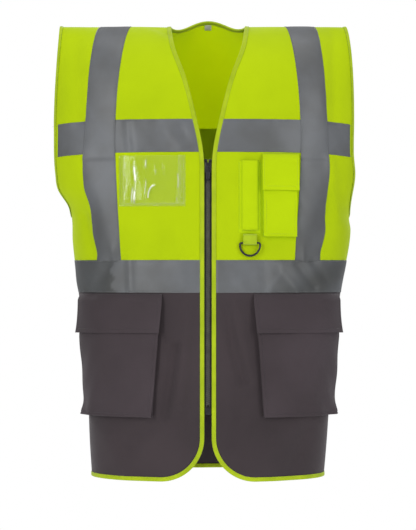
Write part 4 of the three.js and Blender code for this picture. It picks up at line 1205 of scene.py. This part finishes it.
def stitches(name, body, lines, finish, pitch=3.3):
    """lines holds (places, directions off the cloth), both in millimetres along a seam."""
    whole = bmesh.new()
    for places, lifts in lines:
        gaps = np.linalg.norm(np.diff(places, axis=0), axis=1)
        run = np.concatenate([[0], np.cumsum(gaps)])
        shape = bmesh.new()
        for start in np.arange(pitch, run[-1] - pitch, pitch):
            ends = [Vector([np.interp(start + d, run, places[:, k]) for k in range(3)])
                    for d in (0, pitch * 0.72)]
            along = (ends[1] - ends[0]).normalized()
            off = Vector([np.interp(start, run, lifts[:, k]) for k in range(3)]).normalized()
            side = along.cross(off).normalized()
            turn = Matrix((along, side, off)).transposed().to_4x4()
            size = Matrix.Diagonal((pitch * 0.4, 0.27, 0.22, 1))
            bmesh.ops.create_icosphere(shape, subdivisions=1, radius=1,
                                       matrix=Matrix.Translation((ends[0] + ends[1]) / 2) @ turn @ size)
        line = bpy.data.meshes.new("seam_line")
        shape.to_mesh(line)
        shape.free()
        whole.from_mesh(line)
        bpy.data.meshes.remove(line)
    bmesh.ops.scale(whole, verts=whole.verts, vec=(MM, MM, MM))
    mesh = bpy.data.meshes.new(name)
    whole.to_mesh(mesh)
    whole.free()
    mesh.shade_smooth()
    mesh.materials.append(finish)
    piece = bpy.data.objects.new(name, mesh)
    scene.collection.objects.link(piece)
    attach(piece, body)


def seam(made, column=None, row=None, start=0.0, end=1.0):
    """A line on a sheet, along the column or row nearest a share, between two shares of its run."""
    across, down, at = made
    places = at(*np.meshgrid(across, down))
    off = np.cross(np.gradient(places, axis=0), np.gradient(places, axis=1))
    off /= np.linalg.norm(off, axis=-1, keepdims=True)
    if row is None:
        kept = np.where((np.asarray(down) >= start) & (np.asarray(down) <= end))[0]
        line = kept, np.full(len(kept), np.abs(np.asarray(across) - column).argmin())
    else:
        kept = np.where((np.asarray(across) >= start) & (np.asarray(across) <= end))[0]
        line = np.full(len(kept), np.abs(np.asarray(down) - row).argmin()), kept
    return places[line] + off[line] * 0.1, off[line]


grey_thread = thread("grey_thread", (0.20, 0.21, 0.21))
yellow_thread = thread("yellow_thread", (0.52, 0.70, 0.01))
lime_thread = thread("lime_thread", (0.50, 0.70, 0.03))
dark_thread = thread("charcoal_thread", (0.05, 0.04, 0.045))


def body_line(a, r, lift):
    a, r = np.broadcast_arrays(np.asarray(a, float), np.asarray(r, float))
    return on_body(a, r, lift + 0 * r), outward(a, r)


tape_lines = []
chest_row = np.array([180.0])
chest_start = walk(front_edge(chest_row), chest_row, 6)[0]
for inset in (2.0, TAPE_WIDTH - 2.0):
    for side in (1, -1):
        a = side * np.linspace(chest_start, SIDE - 0.36, 80)
        r = CHEST_TOP + CHEST_SAG * np.sin(a) ** 4 + inset
        tape_lines.append(body_line(a, r, TAPE_FACE + 0.1))
        a = side * np.linspace(0.13, SIDE, 120)
        tape_lines.append(body_line(a, WAIST_TAPE + inset, TAPE_FACE + 0.1))
        signed = brace_rows[2:-2]
        r = np.abs(signed)
        a = brace_angle(side, signed, inset)
        tape_lines.append(body_line(a, r, brace_face(r) + 0.1))
    a = np.linspace(SIDE + 0.42, 2 * math.pi - SIDE - 0.42, 160)
    tape_lines.append(body_line(a, CHEST_TOP + CHEST_SAG * np.sin(a) ** 4 + inset, TAPE_FACE + 0.1))
    tape_lines.append(body_line(np.linspace(SIDE, 3 * SIDE, 200), WAIST_TAPE + inset, TAPE_FACE + 0.1))
stitches("tape_stitches", "vest", tape_lines, grey_thread)


def edge_line(a, r, away, reach=-4.2, lift=1.78):
    n = outward(a, r)
    place = on_body(a, r, 0 * r)
    along = np.gradient(place, axis=0)
    along /= np.linalg.norm(along, axis=1, keepdims=True)
    return place + np.cross(along, n) * away * reach + n * lift, n


binding_lines = [edge_line(*hem_path, 1), edge_line(*nape_path, -1)]
for side in (1, -1):
    binding_lines += [edge_line(side * front_path[0], front_path[1], side),
                      edge_line(side * arm_path[0], arm_path[1], side)]
stitches("binding_stitches", "vest", binding_lines, lime_thread)


def round_seam(made, side_in, foot_in, start=0.0):
    """Down one side of a sheet, along its foot and up the other side."""
    sides = [seam(made, column=c, start=start, end=1 - foot_in) for c in (side_in, 1 - side_in)]
    return sides + [seam(made, row=1 - foot_in, start=side_in, end=1 - side_in)]


for side, hand in ((1, "left"), (-1, "right")):
    stitches(f"{hand}_cargo_flap_stitches", f"{hand}_cargo_flap",
             round_seam(cargo_flaps[hand], 0.035, 0.1, 0.05), dark_thread)
    stitches(f"{hand}_cargo_stitches", "vest",
             round_seam(cargo_faces[hand], 0.175, 0.185), dark_thread)
stitches("phone_flap_stitches", "phone_flap",
         round_seam(phone_cover, 0.05, 0.107, 0.05), yellow_thread)
stitches("chest_pocket_stitches", "vest",
         round_seam(phone_pouch, 0.257, 0.257, 0.35) + round_seam(pen_pouch, 0.07, 0.07),
         yellow_thread)
stitches("window_stitches", "vest", round_seam(card_window, 0.006, 0.02),
         yellow_thread)
seam_lines = []
FROM_RIDGE = 3.0
seam_start = angle_at(np.array([NECK_HALF + 7.0]), np.array([FROM_RIDGE]))[0]
a = np.linspace(seam_start, SIDE - ARMHOLE_OPEN - 0.05, 60)
for side in (1, -1):
    for line in (side * a, side * (math.pi - a)):
        seam_lines.append(body_line(line, np.full(60, FROM_RIDGE), CLOTH_FACE + 0.1))
stitches("shoulder_stitches", "vest", seam_lines, yellow_thread)
